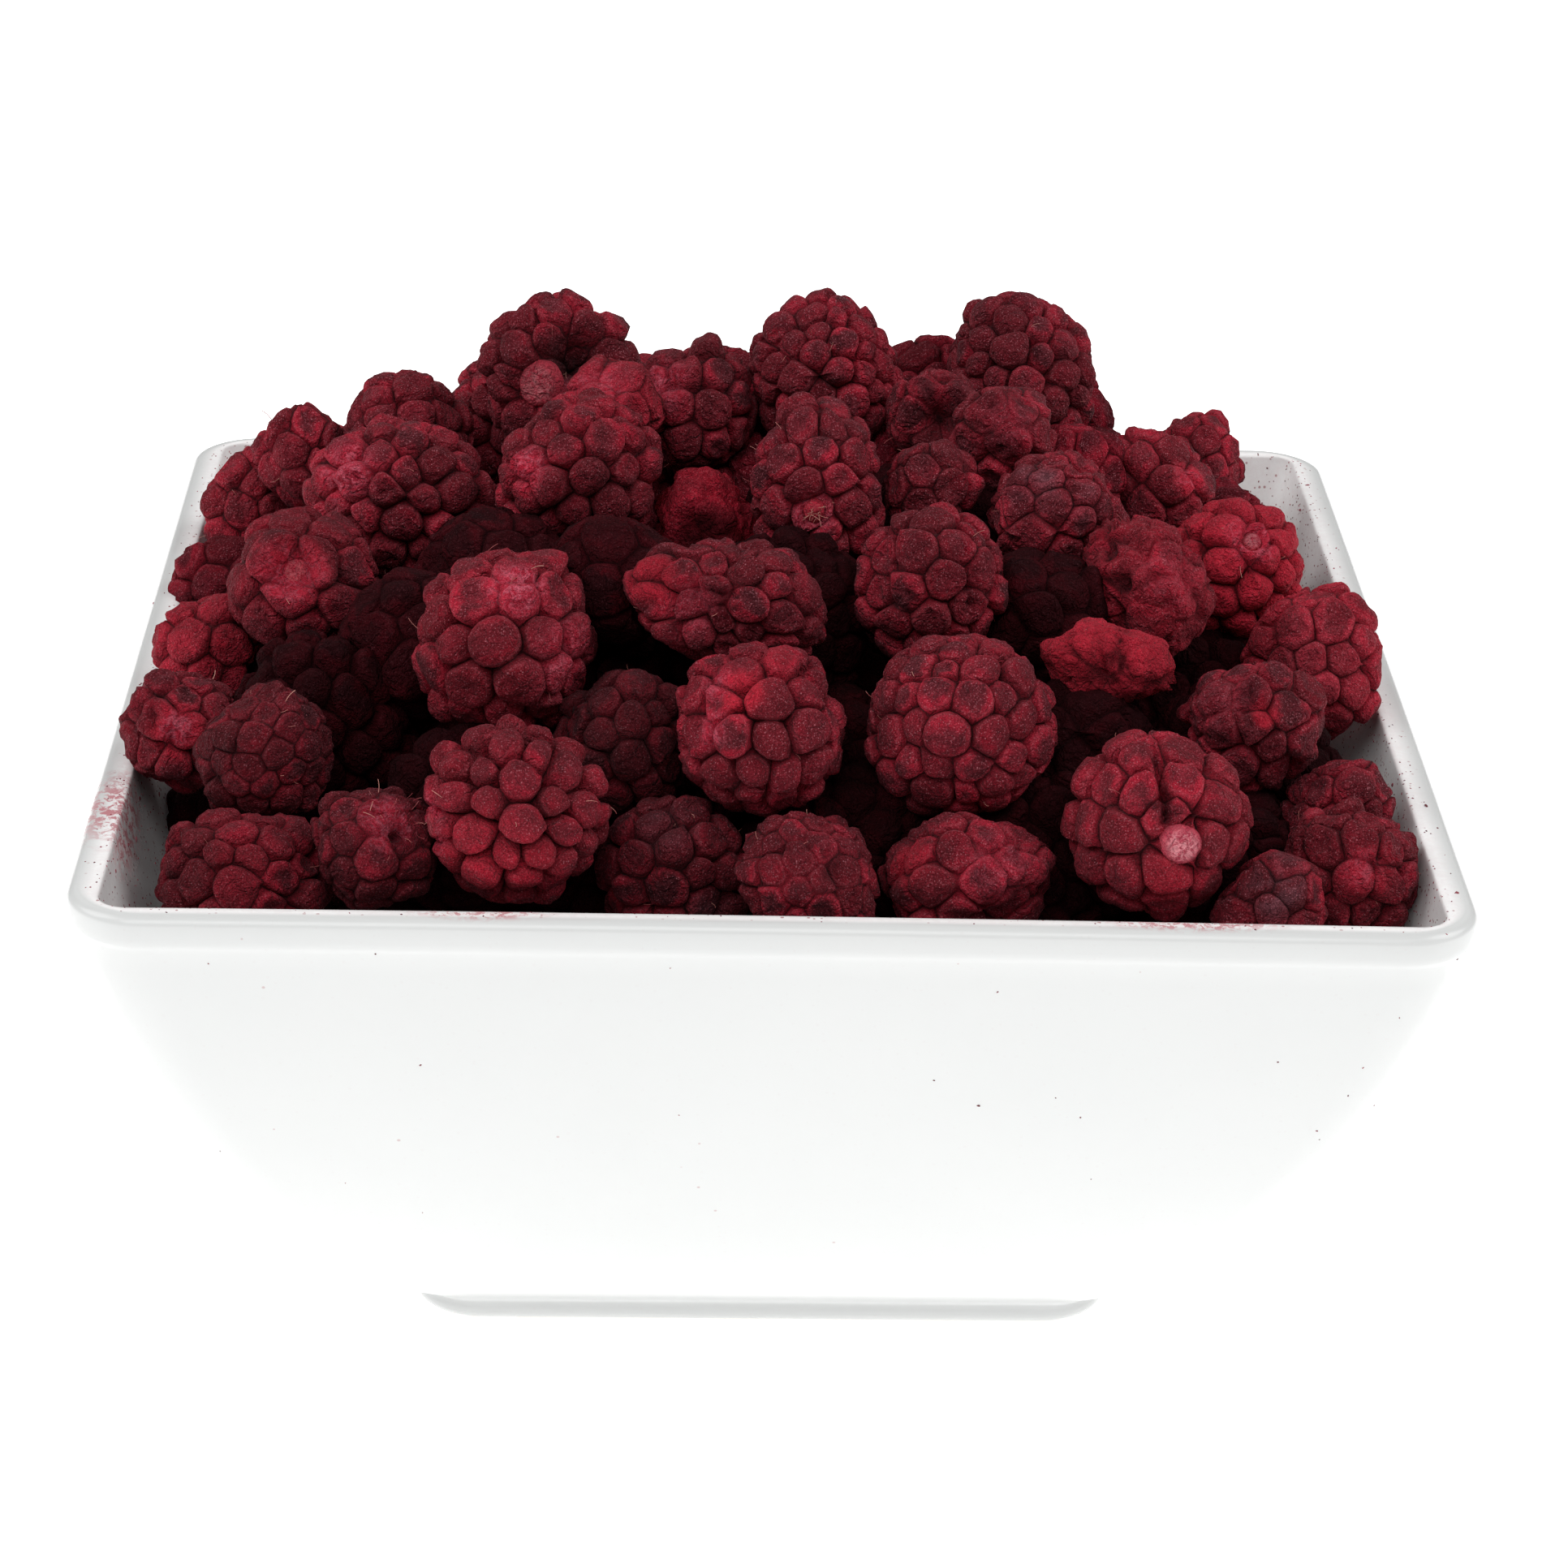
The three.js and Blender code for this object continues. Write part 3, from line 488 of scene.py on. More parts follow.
class Drupelets:
    """What each drupelet of a berry is like, drawn at random: its roundness, lean, dent, folds and shade."""

    def __init__(self, sizes, rng, scale, full, flat, crumple):
        count = len(sizes)
        self.roundness = np.clip(2.5 + 18 * (rng.normal(full, 0.018, count) - 0.955), 1.9, 3.2)
        self.lift = (rng.normal(0, 0.26, count) + 0.8 * (sizes - 1)) * scale
        self.tilt = rng.uniform(0, 0.6, count) * scale
        self.tilt_turn = rng.uniform(0, 2 * math.pi, count)
        is_flat = rng.uniform(0, 1, count) < flat
        self.dimple = np.where(is_flat, rng.uniform(0.35, 1.0, count), rng.uniform(0, 0.12, count)) * scale
        has_ridge = rng.uniform(0, 1, count) < 0.15 + crumple * 0.3
        self.ridge = np.where(has_ridge, rng.uniform(0.1, 0.35, count), 0.0)
        self.folds_round = rng.integers(3, 8, count)
        self.fold_size = rng.uniform(0.03, 0.16, count) * (0.5 + crumple)
        self.shade = rng.uniform(0, 1, count)

    def form(self, site, out, turn):
        """How far a drupelet's own shape stands over a plain dome, in millimetres."""
        form = self.lift[site] + self.tilt[site] * out * np.cos(turn - self.tilt_turn[site])
        form = form - self.dimple[site] * np.exp(-(out / 0.6) ** 2)
        form = form + self.ridge[site] * np.exp(-((out - 0.62) / 0.16) ** 2)
        folds = np.cos(self.folds_round[site] * turn + self.tilt_turn[site] * 3)
        return form + self.fold_size[site] * out * folds


def core_disc(envelope, spot, radius, sunk, seed):
    """The stem's pale core: a round fibrous button that closes the hollow of the stem end.

    Returns its points, its faces and how far out from its middle each point is."""
    segments, dome_steps, dome = 40, 8, 0.32
    side, other = square_to(spot, (0.2, 0.9, 0.3))
    base = envelope.middle + spot * (envelope.reach_at(spot) - sunk)
    turn = np.arange(segments) * 2 * math.pi / segments
    edge = 1 + 0.05 * np.sin(turn * 2 + seed) + 0.025 * np.sin(turn * 3 + seed * 2) + 0.01 * np.sin(turn * 7)
    arm = np.cos(turn)[:, None] * side + np.sin(turn)[:, None] * other
    levels = [(k / dome_steps, dome * (1 - (k / dome_steps) ** 3)) for k in range(1, dome_steps)]
    levels += [(1.0, -0.12), (1.04, -0.6), (0.98, -1.9)]
    points = [base + spot * dome]
    parts = [0.0]
    faces = []
    for number, (part, height) in enumerate(levels):
        points.extend(base + arm * (radius * part * edge)[:, None] + spot * height)
        parts.extend([part] * segments)
        start = 1 + number * segments
        for i in range(segments):
            j = (i + 1) % segments
            below = (0,) if number == 0 else (start - segments + j, start - segments + i)
            faces.append((start + i, start + j, *below))
    points = np.array(points)
    rough = value_noise(points * 2.6, seed) - 0.5 + 0.6 * (ridges(points * 1.5, seed + 1) - 0.5)
    points += spot * (rough * 0.12)[:, None]
    return points, faces, np.array(parts)


def dried_surface(envelope, skin, drupelets, marks, seed, crumple, grow, small):
    """How far each point of the skin lies from the berry's middle, and how high over its creases, 0 to 1."""
    directions, depth, out, up, site, turn = skin
    torn = marks.amount("torn", directions)
    folded = marks.amount("folded", directions) * (1 - torn)
    reach = envelope.reach(directions) + grow
    broad = value_noise(directions * 1.7 + seed * 0.37, seed + 1) - 0.45
    reach = reach - np.maximum(broad, 0) * crumple * SLUMP * small
    place = envelope.middle + directions * reach[:, None]
    reach = reach - ridges(place * 0.16, seed + 6) ** 5 * crumple ** 1.5 * PLEAT * small

    form = drupelets.form(site, out, turn) * up * (site >= 0).astype(float)
    top = reach - depth * (1 - up) + form * (1 - torn) * (1 - 0.7 * folded)
    wrinkle = value_noise(place * 0.95, seed + 3) - 0.5
    fine_wrinkle = value_noise(place * 1.9, seed + 4) - 0.5
    top = top + (wrinkle * WRINKLE + fine_wrinkle * FINE_WRINKLE) * (0.4 + 0.6 * up) * (0.6 + crumple)
    top = top + torn * (ridges(place * 0.33, seed + 2) - 0.75) * TORN_FLESH
    top = top + torn * (ridges(place * 0.8, seed + 7) - 0.7) * TORN_FIBRE

    fold_lines = ridges(place * 0.24 + 0.6 * wrinkle[:, None], seed + 8) ** 5
    fine_folds = ridges(place * 0.5, seed + 9) ** 4
    thick = np.clip(reach / 8 - 0.1, 0.25, 1.0)
    top = top + folded * (FOLD_LIFT - FOLD * fold_lines - FINE_FOLD * fine_folds) * thick
    rise = up * (1 - 0.85 * folded) + 0.85 * folded * np.clip(1 - 1.3 * fold_lines - 0.6 * fine_folds, 0, 1)
    return top - marks.amount("hollow", directions) * HOLLOW - marks.slit_depth(directions), rise, reach


def build_berry(envelope, axis, seed, detail=FINE, marks=(), crumple=0.4, flat=0.42, glow=0.0, shade_and_dark_tone=0.0,
                scale=1.0, deep=1.0, full=0.955, grow=0.3, rows=False):
    """Points (mm), faces and two colour attributes of one dried berry on a CAD body's form.

    look holds each point's random shade of colour, rise over the creases, brightness, and darkening, which is
    mostly painted shade and partly the berry's own darker tone. stain holds how much it is core, torn or
    grey, and how far out on its drupelet it is."""
    rng = np.random.default_rng(seed)
    marks = Marks(marks)
    sites, sizes, cores = berry_sites(envelope, unit(np.array(axis, dtype=float)), marks, rng,
                                      DRUPELET_WIDTH * scale, rows)
    creases, deepness, rings = drupelet_cells(sites, sizes, detail["steps"], rng)
    drupelets = Drupelets(sizes, rng, scale, full, flat, crumple)

    small = min(1.0, float(envelope.arm.mean()) / USUAL_RADIUS) ** 1.5
    uneven = 0.6 + 0.7 * value_noise(creases * 2.2 + seed, seed + 5)
    crease_depth = CREASE_DEPTH * scale * deep * small * deepness * uneven
    crease_depth *= 1 - 0.5 * marks.amount("torn", creases) - 0.4 * marks.amount("folded", creases)
    grown = grow_skin(detail, crease_depth, creases, rings, drupelets.roundness)
    skin = grown.columns()
    directions, _, out, _, site, _ = skin
    top, rise, reach = dried_surface(envelope, skin, drupelets, marks, seed, crumple, grow, small)
    for _, spot, radius, _, sunk in cores:
        aside = angles_to(directions, spot) * envelope.reach_at(spot)
        seat = reach - sunk - 1.2 + (sunk + 1.5) * soft_step(aside, radius * 0.75, radius + 0.5 + sunk)
        top = np.minimum(top, seat)
    points = [envelope.middle + directions * np.maximum(top, LEAST_RADIUS)[:, None]]

    torn = marks.amount("torn", directions)
    bright = np.clip(glow + marks.amount("bright", directions) + 0.35 * torn, 0, 1)
    # Painted shade: stem hollows and darkened marks darken the skin as shade in recesses and on lower sides,
    # added to the berry's own darkening
    shade_and_dark_total = shade_and_dark_tone + 0.75 * marks.amount("hollow", directions) + marks.amount("shade_and_dark_tone", directions)
    shade = np.where(site >= 0, drupelets.shade[site], 0.4)
    look = [np.stack([shade, rise, bright, np.clip(shade_and_dark_total, 0, 1)], axis=1)]
    stain = [np.stack([np.zeros(grown.count), torn, marks.amount("grey", directions), out], axis=1)]
    faces = grown.faces
    start = grown.count
    for number, spot, radius, paleness, sunk in cores:
        disc_points, disc_faces, parts = core_disc(envelope, spot, radius, sunk, seed + number)
        faces.extend(tuple(i + start for i in face) for face in disc_faces)
        start += len(disc_points)
        points.append(disc_points)
        look.append(np.tile([0.5, 1.0, 0.5, 0.0], (len(parts), 1)))
        stain.append(np.column_stack([np.tile([paleness, 0.0, 0.0], (len(parts), 1)), parts]))
    return np.concatenate(points), faces, {"look": np.concatenate(look), "stain": np.concatenate(stain)}


def mesh_object(name, points, faces, colours, material):
    """A smooth-shaded mesh object from points in millimetres, with its colour attributes."""
    mesh = bpy.data.meshes.new(name)
    mesh.from_pydata((points * MM).tolist(), [], faces)
    mesh.materials.append(material)
    mesh.shade_smooth()
    for attribute, values in colours.items():
        layer = mesh.attributes.new(attribute, "FLOAT_COLOR", "POINT")
        layer.data.foreach_set("color", values.astype(np.float32).ravel())
    made = bpy.data.objects.new(name, mesh)
    bpy.context.scene.collection.objects.link(made)
    return made


def stay_in_box(points):
    """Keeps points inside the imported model's box."""
    low = np.array(cad_box[0]) / MM
    high = np.array(cad_box[1]) / MM
    return np.clip(points, low + BOX_MARGIN, high - BOX_MARGIN)


# How each berry that shows looks. axis is the way its tip points, crumple how dented and pleated it is and
# flat the share of its drupelets that are sunken. glow is how bright it is, and the darkening how dark it is
# made: mostly painted shade where the berry lies low in the heap or under the rim, partly its own darker
# tone.
# scale is the size of its drupelets, deep the depth of its creases and full how full its drupelets are. grow
# is how far it stands out over its CAD body, in millimetres. rows lays its drupelets in rows round the axis.
#
# A mark has its kind, its place right and up of the berry's middle as the photograph's viewer sees it, in
# berry radii, its half width in radians and its strength. The kinds are torn and folded skin, bright and grey
# patches, darkened patches of painted shade, hollow stem ends that are also painted darker as shade, and
# bristly tufts. A core has its radius in millimetres instead, how pale it is and how deep it is sunk. A slit
# has two places, its half width in radians and its depth.
BERRIES = {
    "front_1": dict(axis=(0.9, 0, 0.3), crumple=0.35, glow=0.08, shade_and_dark_tone=0.32, deep=0.85,
                    marks=[("bright", 0.1, 0.2, 0.5, 0.3)]),
    "front_2": dict(axis=(-0.4, 0.8, -0.3), crumple=0.35, shade_and_dark_tone=0.45, scale=0.82, deep=0.8, grow=0.8,
                    marks=[("torn", 0.3, 0.45, 0.5, 1.0), ("hollow", 0.42, 0.2, 0.14, 0.5),
                           ("bright", 0.25, 0.4, 0.4, 0.5), ("bristly", 0.35, 0.5, 0.6, 1)]),
    "front_3": dict(axis=(0.9, -0.25, 0.1), crumple=0.06, glow=0.22, shade_and_dark_tone=0.06, flat=0.3, deep=1.55,
                    full=0.95, scale=0.96,
                    marks=[("bright", -0.3, -0.5, 0.6, 0.3), ("bright", 0.1, -0.6, 0.5, 0.3),
                           ("torn", -0.93, -0.12, 0.35, 1), ("core", -0.94, -0.14, 1.5, 0.2, 0.8)]),
    "front_4": dict(axis=(0.1, -0.6, 0.8), crumple=0.2, shade_and_dark_tone=0.34, deep=0.95,
                    marks=[("grey", 0.5, -0.5, 0.4, 0.7), ("grey", -0.1, 0.6, 0.4, 0.4)]),
    "front_5": dict(axis=(-0.8, 0.2, 0.3), crumple=0.65, shade_and_dark_tone=0.26, scale=0.74, deep=0.6, flat=0.2,
                    marks=[("folded", 0.0, 0.3, 0.7, 0.8)]),
    "front_6": dict(axis=(1, 0, 0.1), crumple=0.65, glow=0.04, shade_and_dark_tone=0.15, deep=0.75,
                    marks=[("bright", -0.75, 0.3, 0.4, 0.6), ("torn", 0.45, 0.25, 0.45, 0.35),
                           ("folded", 0.5, 0.1, 0.7, 0.7)]),
    "front_7": dict(axis=facing(0.22, -0.27), crumple=0.12, glow=0.2, deep=0.8, scale=1.12, full=0.965,
                    rows=True,
                    marks=[("core", 0.22, -0.27, 2.15, 1, 0.4), ("slit", 0.06, -0.02, -0.06, 0.8, 0.09, 4.0),
                           ("bright", 0.1, -0.65, 0.4, 0.3)]),
    "front_8": dict(axis=(0.3, -0.2, 0.9), crumple=0.4, shade_and_dark_tone=0.15, marks=[("grey", 0, 0.4, 0.6, 0.7)]),
    "front_9": dict(axis=(-0.5, -0.3, 0.8), crumple=0.7, glow=0.08, shade_and_dark_tone=0.14, flat=0.6,
                    marks=[("bright", 0.2, 0, 0.5, 0.4), ("torn", 0.1, 0.1, 0.3, 0.5)]),
    "second_1": dict(axis=(0.25, 0.9, -0.35), crumple=0.6, glow=0.12, shade_and_dark_tone=0.22, scale=0.95,
                     marks=[("torn", 0.05, 0.0, 0.3, 1.0), ("bright", 0.05, -0.05, 0.42, 1.0),
                            ("folded", -0.4, 0.4, 0.6, 0.6)]),
    "second_2": dict(axis=(0.2, -0.5, 0.8), crumple=0.35, shade_and_dark_tone=0.52, scale=0.72, deep=0.55, flat=0.2),
    "second_3": dict(axis=(0.3, -0.4, 0.8), crumple=0.25, shade_and_dark_tone=0.7, deep=0.95),
    "second_4": dict(axis=(0.3, 0.5, -0.8), crumple=0.5, glow=0.14, scale=1.05, deep=1.05, flat=0.35,
                     marks=[("bright", -0.22, 0.42, 0.26, 1.0), ("torn", -0.55, 0.0, 0.22, 0.8),
                            ("torn", -0.5, 0.5, 0.2, 0.6), ("bright", 0.15, 0.8, 0.25, 0.4)]),
    "second_5": dict(axis=(0.15, -0.8, -0.2), crumple=0.1, glow=0.04, flat=0.3, deep=0.72, full=0.95,
                     scale=0.9),
    "second_6": dict(axis=(-0.9, 0.1, 0.2), crumple=0.5, shade_and_dark_tone=0.16,
                     marks=[("bright", 0.1, 0.1, 0.22, 1.0), ("torn", -0.55, 0.35, 0.5, 0.2),
                            ("folded", -0.5, 0.3, 0.7, 0.8)]),
    "second_7": dict(axis=(0.4, -0.2, 0.8), crumple=0.5, shade_and_dark_tone=0.08),
    "third_1": dict(axis=(0.7, 0.2, 0.6), crumple=0.6, glow=0.5, grow=0.7),
    "third_2": dict(axis=facing(-0.1, 0.15), crumple=0.4, glow=0.1, shade_and_dark_tone=0.26, rows=True, grow=1.3,
                    marks=[("torn", -0.1, 0.08, 0.42, 1.0), ("core", -0.1, 0.15, 1.6, 0.3, 1.7),
                           ("bright", -0.08, 0.1, 0.45, 1.0)]),
    "third_3": dict(axis=(0.3, 0.6, 0.7), crumple=0.4, glow=0.18, scale=1.12, full=0.965, flat=0.5, grow=1.0,
                    marks=[("torn", 0.15, 0.6, 0.34, 1.0), ("bristly", 0.12, 0.66, 0.35, 1),
                           ("torn", 0.75, -0.2, 0.5, 0.5)]),
    "third_4": dict(axis=(-1, 0.05, 0.2), crumple=0.6, deep=0.9, shade_and_dark_tone=0.24, flat=0.5,
                    marks=[("bright", -0.85, 0.3, 0.35, 0.8), ("torn", -0.45, -0.1, 0.4, 0.35),
                           ("folded", -0.2, 0.2, 0.5, 0.7), ("slit", -0.5, 0.25, 0.25, 0.1, 0.06, 1.6)]),
    "third_5": dict(axis=(0.1, -0.3, 0.9), crumple=0.15, shade_and_dark_tone=0.14, flat=0.5, deep=0.75, full=0.965,
                    marks=[("slit", 0.35, 0.5, 0.5, -0.35, 0.05, 1.6),
                           ("slit", -0.4, -0.1, 0.0, -0.4, 0.04, 1.2)]),
    "third_6": dict(axis=(1, 0, -0.1), crumple=0.3, glow=0.85, shade_and_dark_tone=0.1, grow=0.9, scale=1.1, deep=0.4,
                    flat=0.3,
                    marks=[("folded", 0.1, 0.1, 2.6, 1.0), ("bright", -0.3, 0.4, 0.6, 0.3),
                           ("shade_and_dark_tone", 0.1, -0.95, 0.7, 0.5), ("slit", -0.25, 0.3, -0.1, -0.3, 0.07, 1.6)]),
    "third_7": dict(axis=(-0.6, 0.4, 0.7), crumple=0.9, glow=0.35, scale=0.9, deep=0.7, grow=1.2,
                    marks=[("folded", 0.1, 0.3, 1.6, 1.0), ("torn", 0.3, 0.1, 0.5, 0.3)]),
    "third_8": dict(axis=(0.2, 0.2, 0.9), crumple=0.25, glow=0.38, flat=0.6, deep=0.75, full=0.97,
                    marks=[("grey", -0.1, 0.1, 0.8, 0.2)]),
    "third_9": dict(axis=(-0.1, 0.6, -0.75), crumple=0.4, glow=0.7, full=0.93, deep=1.1, grow=0.6,
                    marks=[("core", 0.2, 0.42, 1.2, 0.4, 0.8), ("bright", 0.4, -0.3, 0.9, 0.6),
                           ("torn", 0.18, 0.4, 0.35, 0.8)]),
    "fourth_1": dict(axis=(-0.3, 0, 0.9), crumple=0.35, glow=0.25, grow=0.6),
    "fourth_2": dict(axis=(0.1, 0, 1), crumple=0.5, glow=0.05, grow=0.6),
    "fourth_3": dict(axis=(0.9, -0.3, 0.1), crumple=0.35, grow=0.8,
                     marks=[("torn", -0.6, 0.25, 0.42, 0.9), ("bright", -0.75, 0.1, 0.3, 0.4)]),
    "fourth_4": dict(axis=(0.1, 0.4, 0.9), crumple=0.35, scale=1.05, deep=1.05, glow=0.12,
                     marks=[("torn", -0.62, 0.05, 0.3, 0.9), ("bright", -0.66, -0.02, 0.25, 0.6),
                            ("shade_and_dark_tone", 0.1, -0.2, 0.7, 0.15)]),
    "fourth_5": dict(axis=(0.05, 0.4, 0.9), crumple=0.3, scale=1.05, full=0.94,
                     marks=[("torn", -0.06, -0.42, 0.3, 0.8), ("core", -0.06, -0.42, 1.2, 0.12, 0.7),
                            ("bristly", -0.06, -0.45, 0.35, 1)]),
    "fourth_6": dict(axis=(0.8, 0.3, 0.3), crumple=0.6, shade_and_dark_tone=0.05),
    "fourth_7": dict(axis=(0.7, 0.3, 0.5), crumple=0.7, scale=0.9, deep=0.7, flat=0.55, shade_and_dark_tone=0.05,
                     marks=[("grey", -0.4, 0.4, 0.5, 0.6), ("grey", 0.4, 0.1, 0.4, 0.4)]),
    "fourth_8": dict(axis=(-0.5, 0.3, 0.8), crumple=0.3, scale=1.1, glow=0.15, grow=0.5,
                     marks=[("bright", 0.6, 0.15, 0.35, 0.6), ("torn", 0.6, 0.15, 0.3, 0.6)]),
    "fourth_9": dict(axis=(0.2, 0.3, 0.9), crumple=0.25, scale=0.88, full=0.94, glow=0.2),
    "top_1": dict(axis=(0.3, 0.6, 0.7), crumple=0.5, glow=0.08, grow=1.0),
    "top_2": dict(axis=(0.4, 0.85, -0.3), crumple=0.5, shade_and_dark_tone=0.1, grow=1.0,
                  marks=[("hollow", 0.3, 0.05, 0.55, 1.0), ("torn", 0.2, -0.45, 0.4, 0.8),
                         ("core", -0.36, -0.28, 2.7, 0.45, 1.6), ("bristly", 0.1, -0.05, 0.25, 0.6)]),
    "top_3": dict(axis=(0.7, 0.3, 0.5), crumple=0.6, glow=0.35, grow=0.8, deep=0.7,
                  marks=[("torn", -0.3, 0.4, 0.7, 0.5), ("folded", -0.2, 0.2, 0.9, 0.8)]),
    "top_4": dict(axis=(0.4, 0.3, 0.8), crumple=0.5, glow=0.1, shade_and_dark_tone=0.18, scale=1.05,
                  marks=[("torn", -0.5, 0.35, 0.5, 0.8), ("bright", -0.2, 0.5, 0.5, 0.2)]),
    "top_5": dict(axis=(-0.15, 0.3, 0.95), crumple=0.15, flat=0.1, full=0.965, scale=0.84, deep=1.1),
    "top_6": dict(axis=(0.1, 0.9, 0.1), crumple=0.65, shade_and_dark_tone=0.2, flat=0.6, deep=0.75,
                  marks=[("hollow", 0, -0.1, 0.6, 1.0), ("folded", 0, 0.5, 0.8, 0.8)]),
    "top_7": dict(axis=(0.4, 0.8, 0.2), crumple=0.6, scale=1.15, deep=0.8, flat=0.6,
                  marks=[("torn", 0.1, 0.2, 0.5, 0.2), ("folded", 0.1, 0.2, 0.9, 0.8)]),
    "top_8": dict(axis=(-0.2, 0.4, 0.9), crumple=0.15, flat=0.1, full=0.965, scale=0.86, deep=1.1, shade_and_dark_tone=0.1,
                  grow=0.8),
}

# The berries of the back slope, which the photograph doesn't show
UNSEEN = dict(axis=(0.3, 0.4, 0.8), crumple=0.4)

# Lower berries that show between the others, by the number of their node and their own
GLIMPSED = {
    (4, 0): dict(shade_and_dark_tone=0.1, scale=1.0, grow=1.0, crumple=0.5, marks=[("bright", 0.5, 0.2, 0.4, 0.4)]),
    (3, 1): dict(shade_and_dark_tone=0.08, glow=0.5, scale=1.1, grow=0.6, crumple=0.6,
                 marks=[("folded", 0.0, 0.4, 1.5, 1.0), ("shade_and_dark_tone", 0.0, -0.35, 0.7, 0.8)]),
}

# Random seeds of the berries' skins and bristles, and of the hidden berries' skins
SKIN_SEED = 300
BRISTLE_SEED = 40
HIDDEN_SEED = 700
MOST_IN_GROUP = 40

# Hidden berries, and the heap's surface over them: its height in the middle and how fast it falls outward
HIDDEN_GROUPS = 5
HEAP_TOP = 95                    # millimetres
HEAP_SLOPE = 0.42
FEWEST_CORNERS = 10              # what is found with fewer CAD corners than this isn't a berry


def stand_in(name, points, faces, colours, material, node):
    """A finer piece that takes the place of a CAD node."""
    piece = mesh_object(name, points, faces, colours, material)
    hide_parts(node)
    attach(piece, "root")
    return piece


def bristle_seeds(points, envelope, marks, rng):
    """Roots and leanings of the pale bristles: many at bristly marks, a few anywhere else."""
    few, many, spread, sunk = 0.0012, 0.08, 0.45, 0.15
    directions = units(points - envelope.middle)
    chance = marks.amount("bristly", directions) * many + few
    picked = np.nonzero(rng.uniform(0, 1, len(points)) < chance)[0]
    lean = units(directions[picked] + rng.normal(0, spread, (len(picked), 3)))
    return points[picked] - directions[picked] * sunk, lean


def add_shown_berries(material):
    """The berries on top, each on its own CAD body. Returns the roots and leanings of their bristles."""
    roots, leanings = [], []
    names = [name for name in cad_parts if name.startswith("berry_")]
    for index, node in enumerate(sorted(names)):
        look = BERRIES.get(node[len("berry_"):], UNSEEN)
        envelope = Envelope(node_points(node))
        points, faces, colours = build_berry(envelope, seed=SKIN_SEED + index, **look)
        points = stay_in_box(points)
        stand_in(node + "_skin", points, faces, colours, material, node)
        marks = Marks(look.get("marks", ()))
        rng = np.random.default_rng(BRISTLE_SEED + index)
        root, lean = bristle_seeds(points, envelope, marks, rng)
        roots.append(root)
        leanings.append(lean)
    return np.concatenate(roots), np.concatenate(leanings)


# The berries under the top layer: a CAD node holds many, so their middles are found first

def berry_middles(mesh):
    """Middles of the berries fused in a CAD node, and its corner points.

    Each corner votes for a spot inward along its normal, and a middle is where enough votes gather."""
    inward, gather, apart, fewest = 9.0, 4.0, 6.0, 12
    bm = bmesh.new()
    bm.from_mesh(mesh)
    bmesh.ops.remove_doubles(bm, verts=bm.verts, dist=1e-6)
    bm.normal_update()
    points = np.array([vert.co for vert in bm.verts]) / MM
    normals = np.array([vert.normal for vert in bm.verts])
    bm.free()
    votes = points - normals * inward
    middles = []
    free = np.ones(len(votes), dtype=bool)
    while free.sum() > fewest:
        best, most = None, 0
        for start in votes[free][:: max(1, free.sum() // 40)]:
            place = start
            for _ in range(8):
                near = free & (np.linalg.norm(votes - place, axis=1) < gather)
                if near.sum() < 4:
                    break
                place = votes[near].mean(axis=0)
            if best is None or near.sum() > most:
                best, most = place, near.sum()
        if most < fewest:
            break
        middles.append(best)
        free &= np.linalg.norm(votes - best, axis=1) > apart
    return points, np.array(middles)


def hidden_berry(group, number, middle, points):
    """One berry of a hidden group: finer where it can be glimpsed, coarser the deeper it lies, and painted
    dark as shade, nearly black where others cover it and more so the lower it lies.
    """
    across, height = max(abs(middle[0]), abs(middle[1])), middle[2]
    depth = HEAP_TOP - HEAP_SLOPE * across - height
    near_top = height > 62 or height > 48 and across > 40
    covered = middle[1] < 20 and across < 64
    drupelets = 1.0 if near_top else 1.5 if depth < 30 else 2.2
    # Painted shade: covered berries are darkened nearly to black, the more the deeper they lie
    look = dict(shade_and_dark_tone=min(1.0, 0.93 + 0.01 * depth) if covered else 0.3, scale=drupelets, grow=2.0)
    look.update(GLIMPSED.get((group, number), {}))
    axis = (math.sin(number * 2.4), math.cos(number * 2.4), 0.5)
    seed = HIDDEN_SEED + MOST_IN_GROUP * group + number
    return build_berry(Envelope(points), axis, seed, PLAIN if near_top else COARSE, **look)


def add_hidden_berries(material):
    """The berries under the top layer, one piece for each group of them."""
    for group in range(1, HIDDEN_GROUPS + 1):
        node = f"berries_under_{group}"
        corners, middles = berry_middles(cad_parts[node].data)
        owner = np.argmin(np.linalg.norm(corners[:, None, :] - middles[None, :, :], axis=2), axis=1)
        points, faces, looks, stains = [], [], [], []
        start = 0
        for number, middle in enumerate(middles):
            own = corners[owner == number]
            if len(own) < FEWEST_CORNERS:
                continue
            berry_points, berry_faces, colours = hidden_berry(group, number, middle, own)
            points.append(berry_points)
            faces.extend(tuple(i + start for i in face) for face in berry_faces)
            looks.append(colours["look"])
            stains.append(colours["stain"])
            start += len(berry_points)
        colours = {"look": np.concatenate(looks), "stain": np.concatenate(stains)}
        stand_in(node + "_skin", stay_in_box(np.concatenate(points)), faces, colours, material, node)


# Bowl

def wall_point(t):
    """Point and slope of the wall's outer curve, half width against height."""
    p = [np.array(point) for point in WALL_CURVE]
    place = ((1 - t) ** 3 * p[0] + 3 * (1 - t) ** 2 * t * p[1] + 3 * (1 - t) * t * t * p[2] + t ** 3 * p[3])
    slope = 3 * ((1 - t) ** 2 * (p[1] - p[0]) + 2 * (1 - t) * t * (p[2] - p[1]) + t * t * (p[3] - p[2]))
    return place, unit(slope)


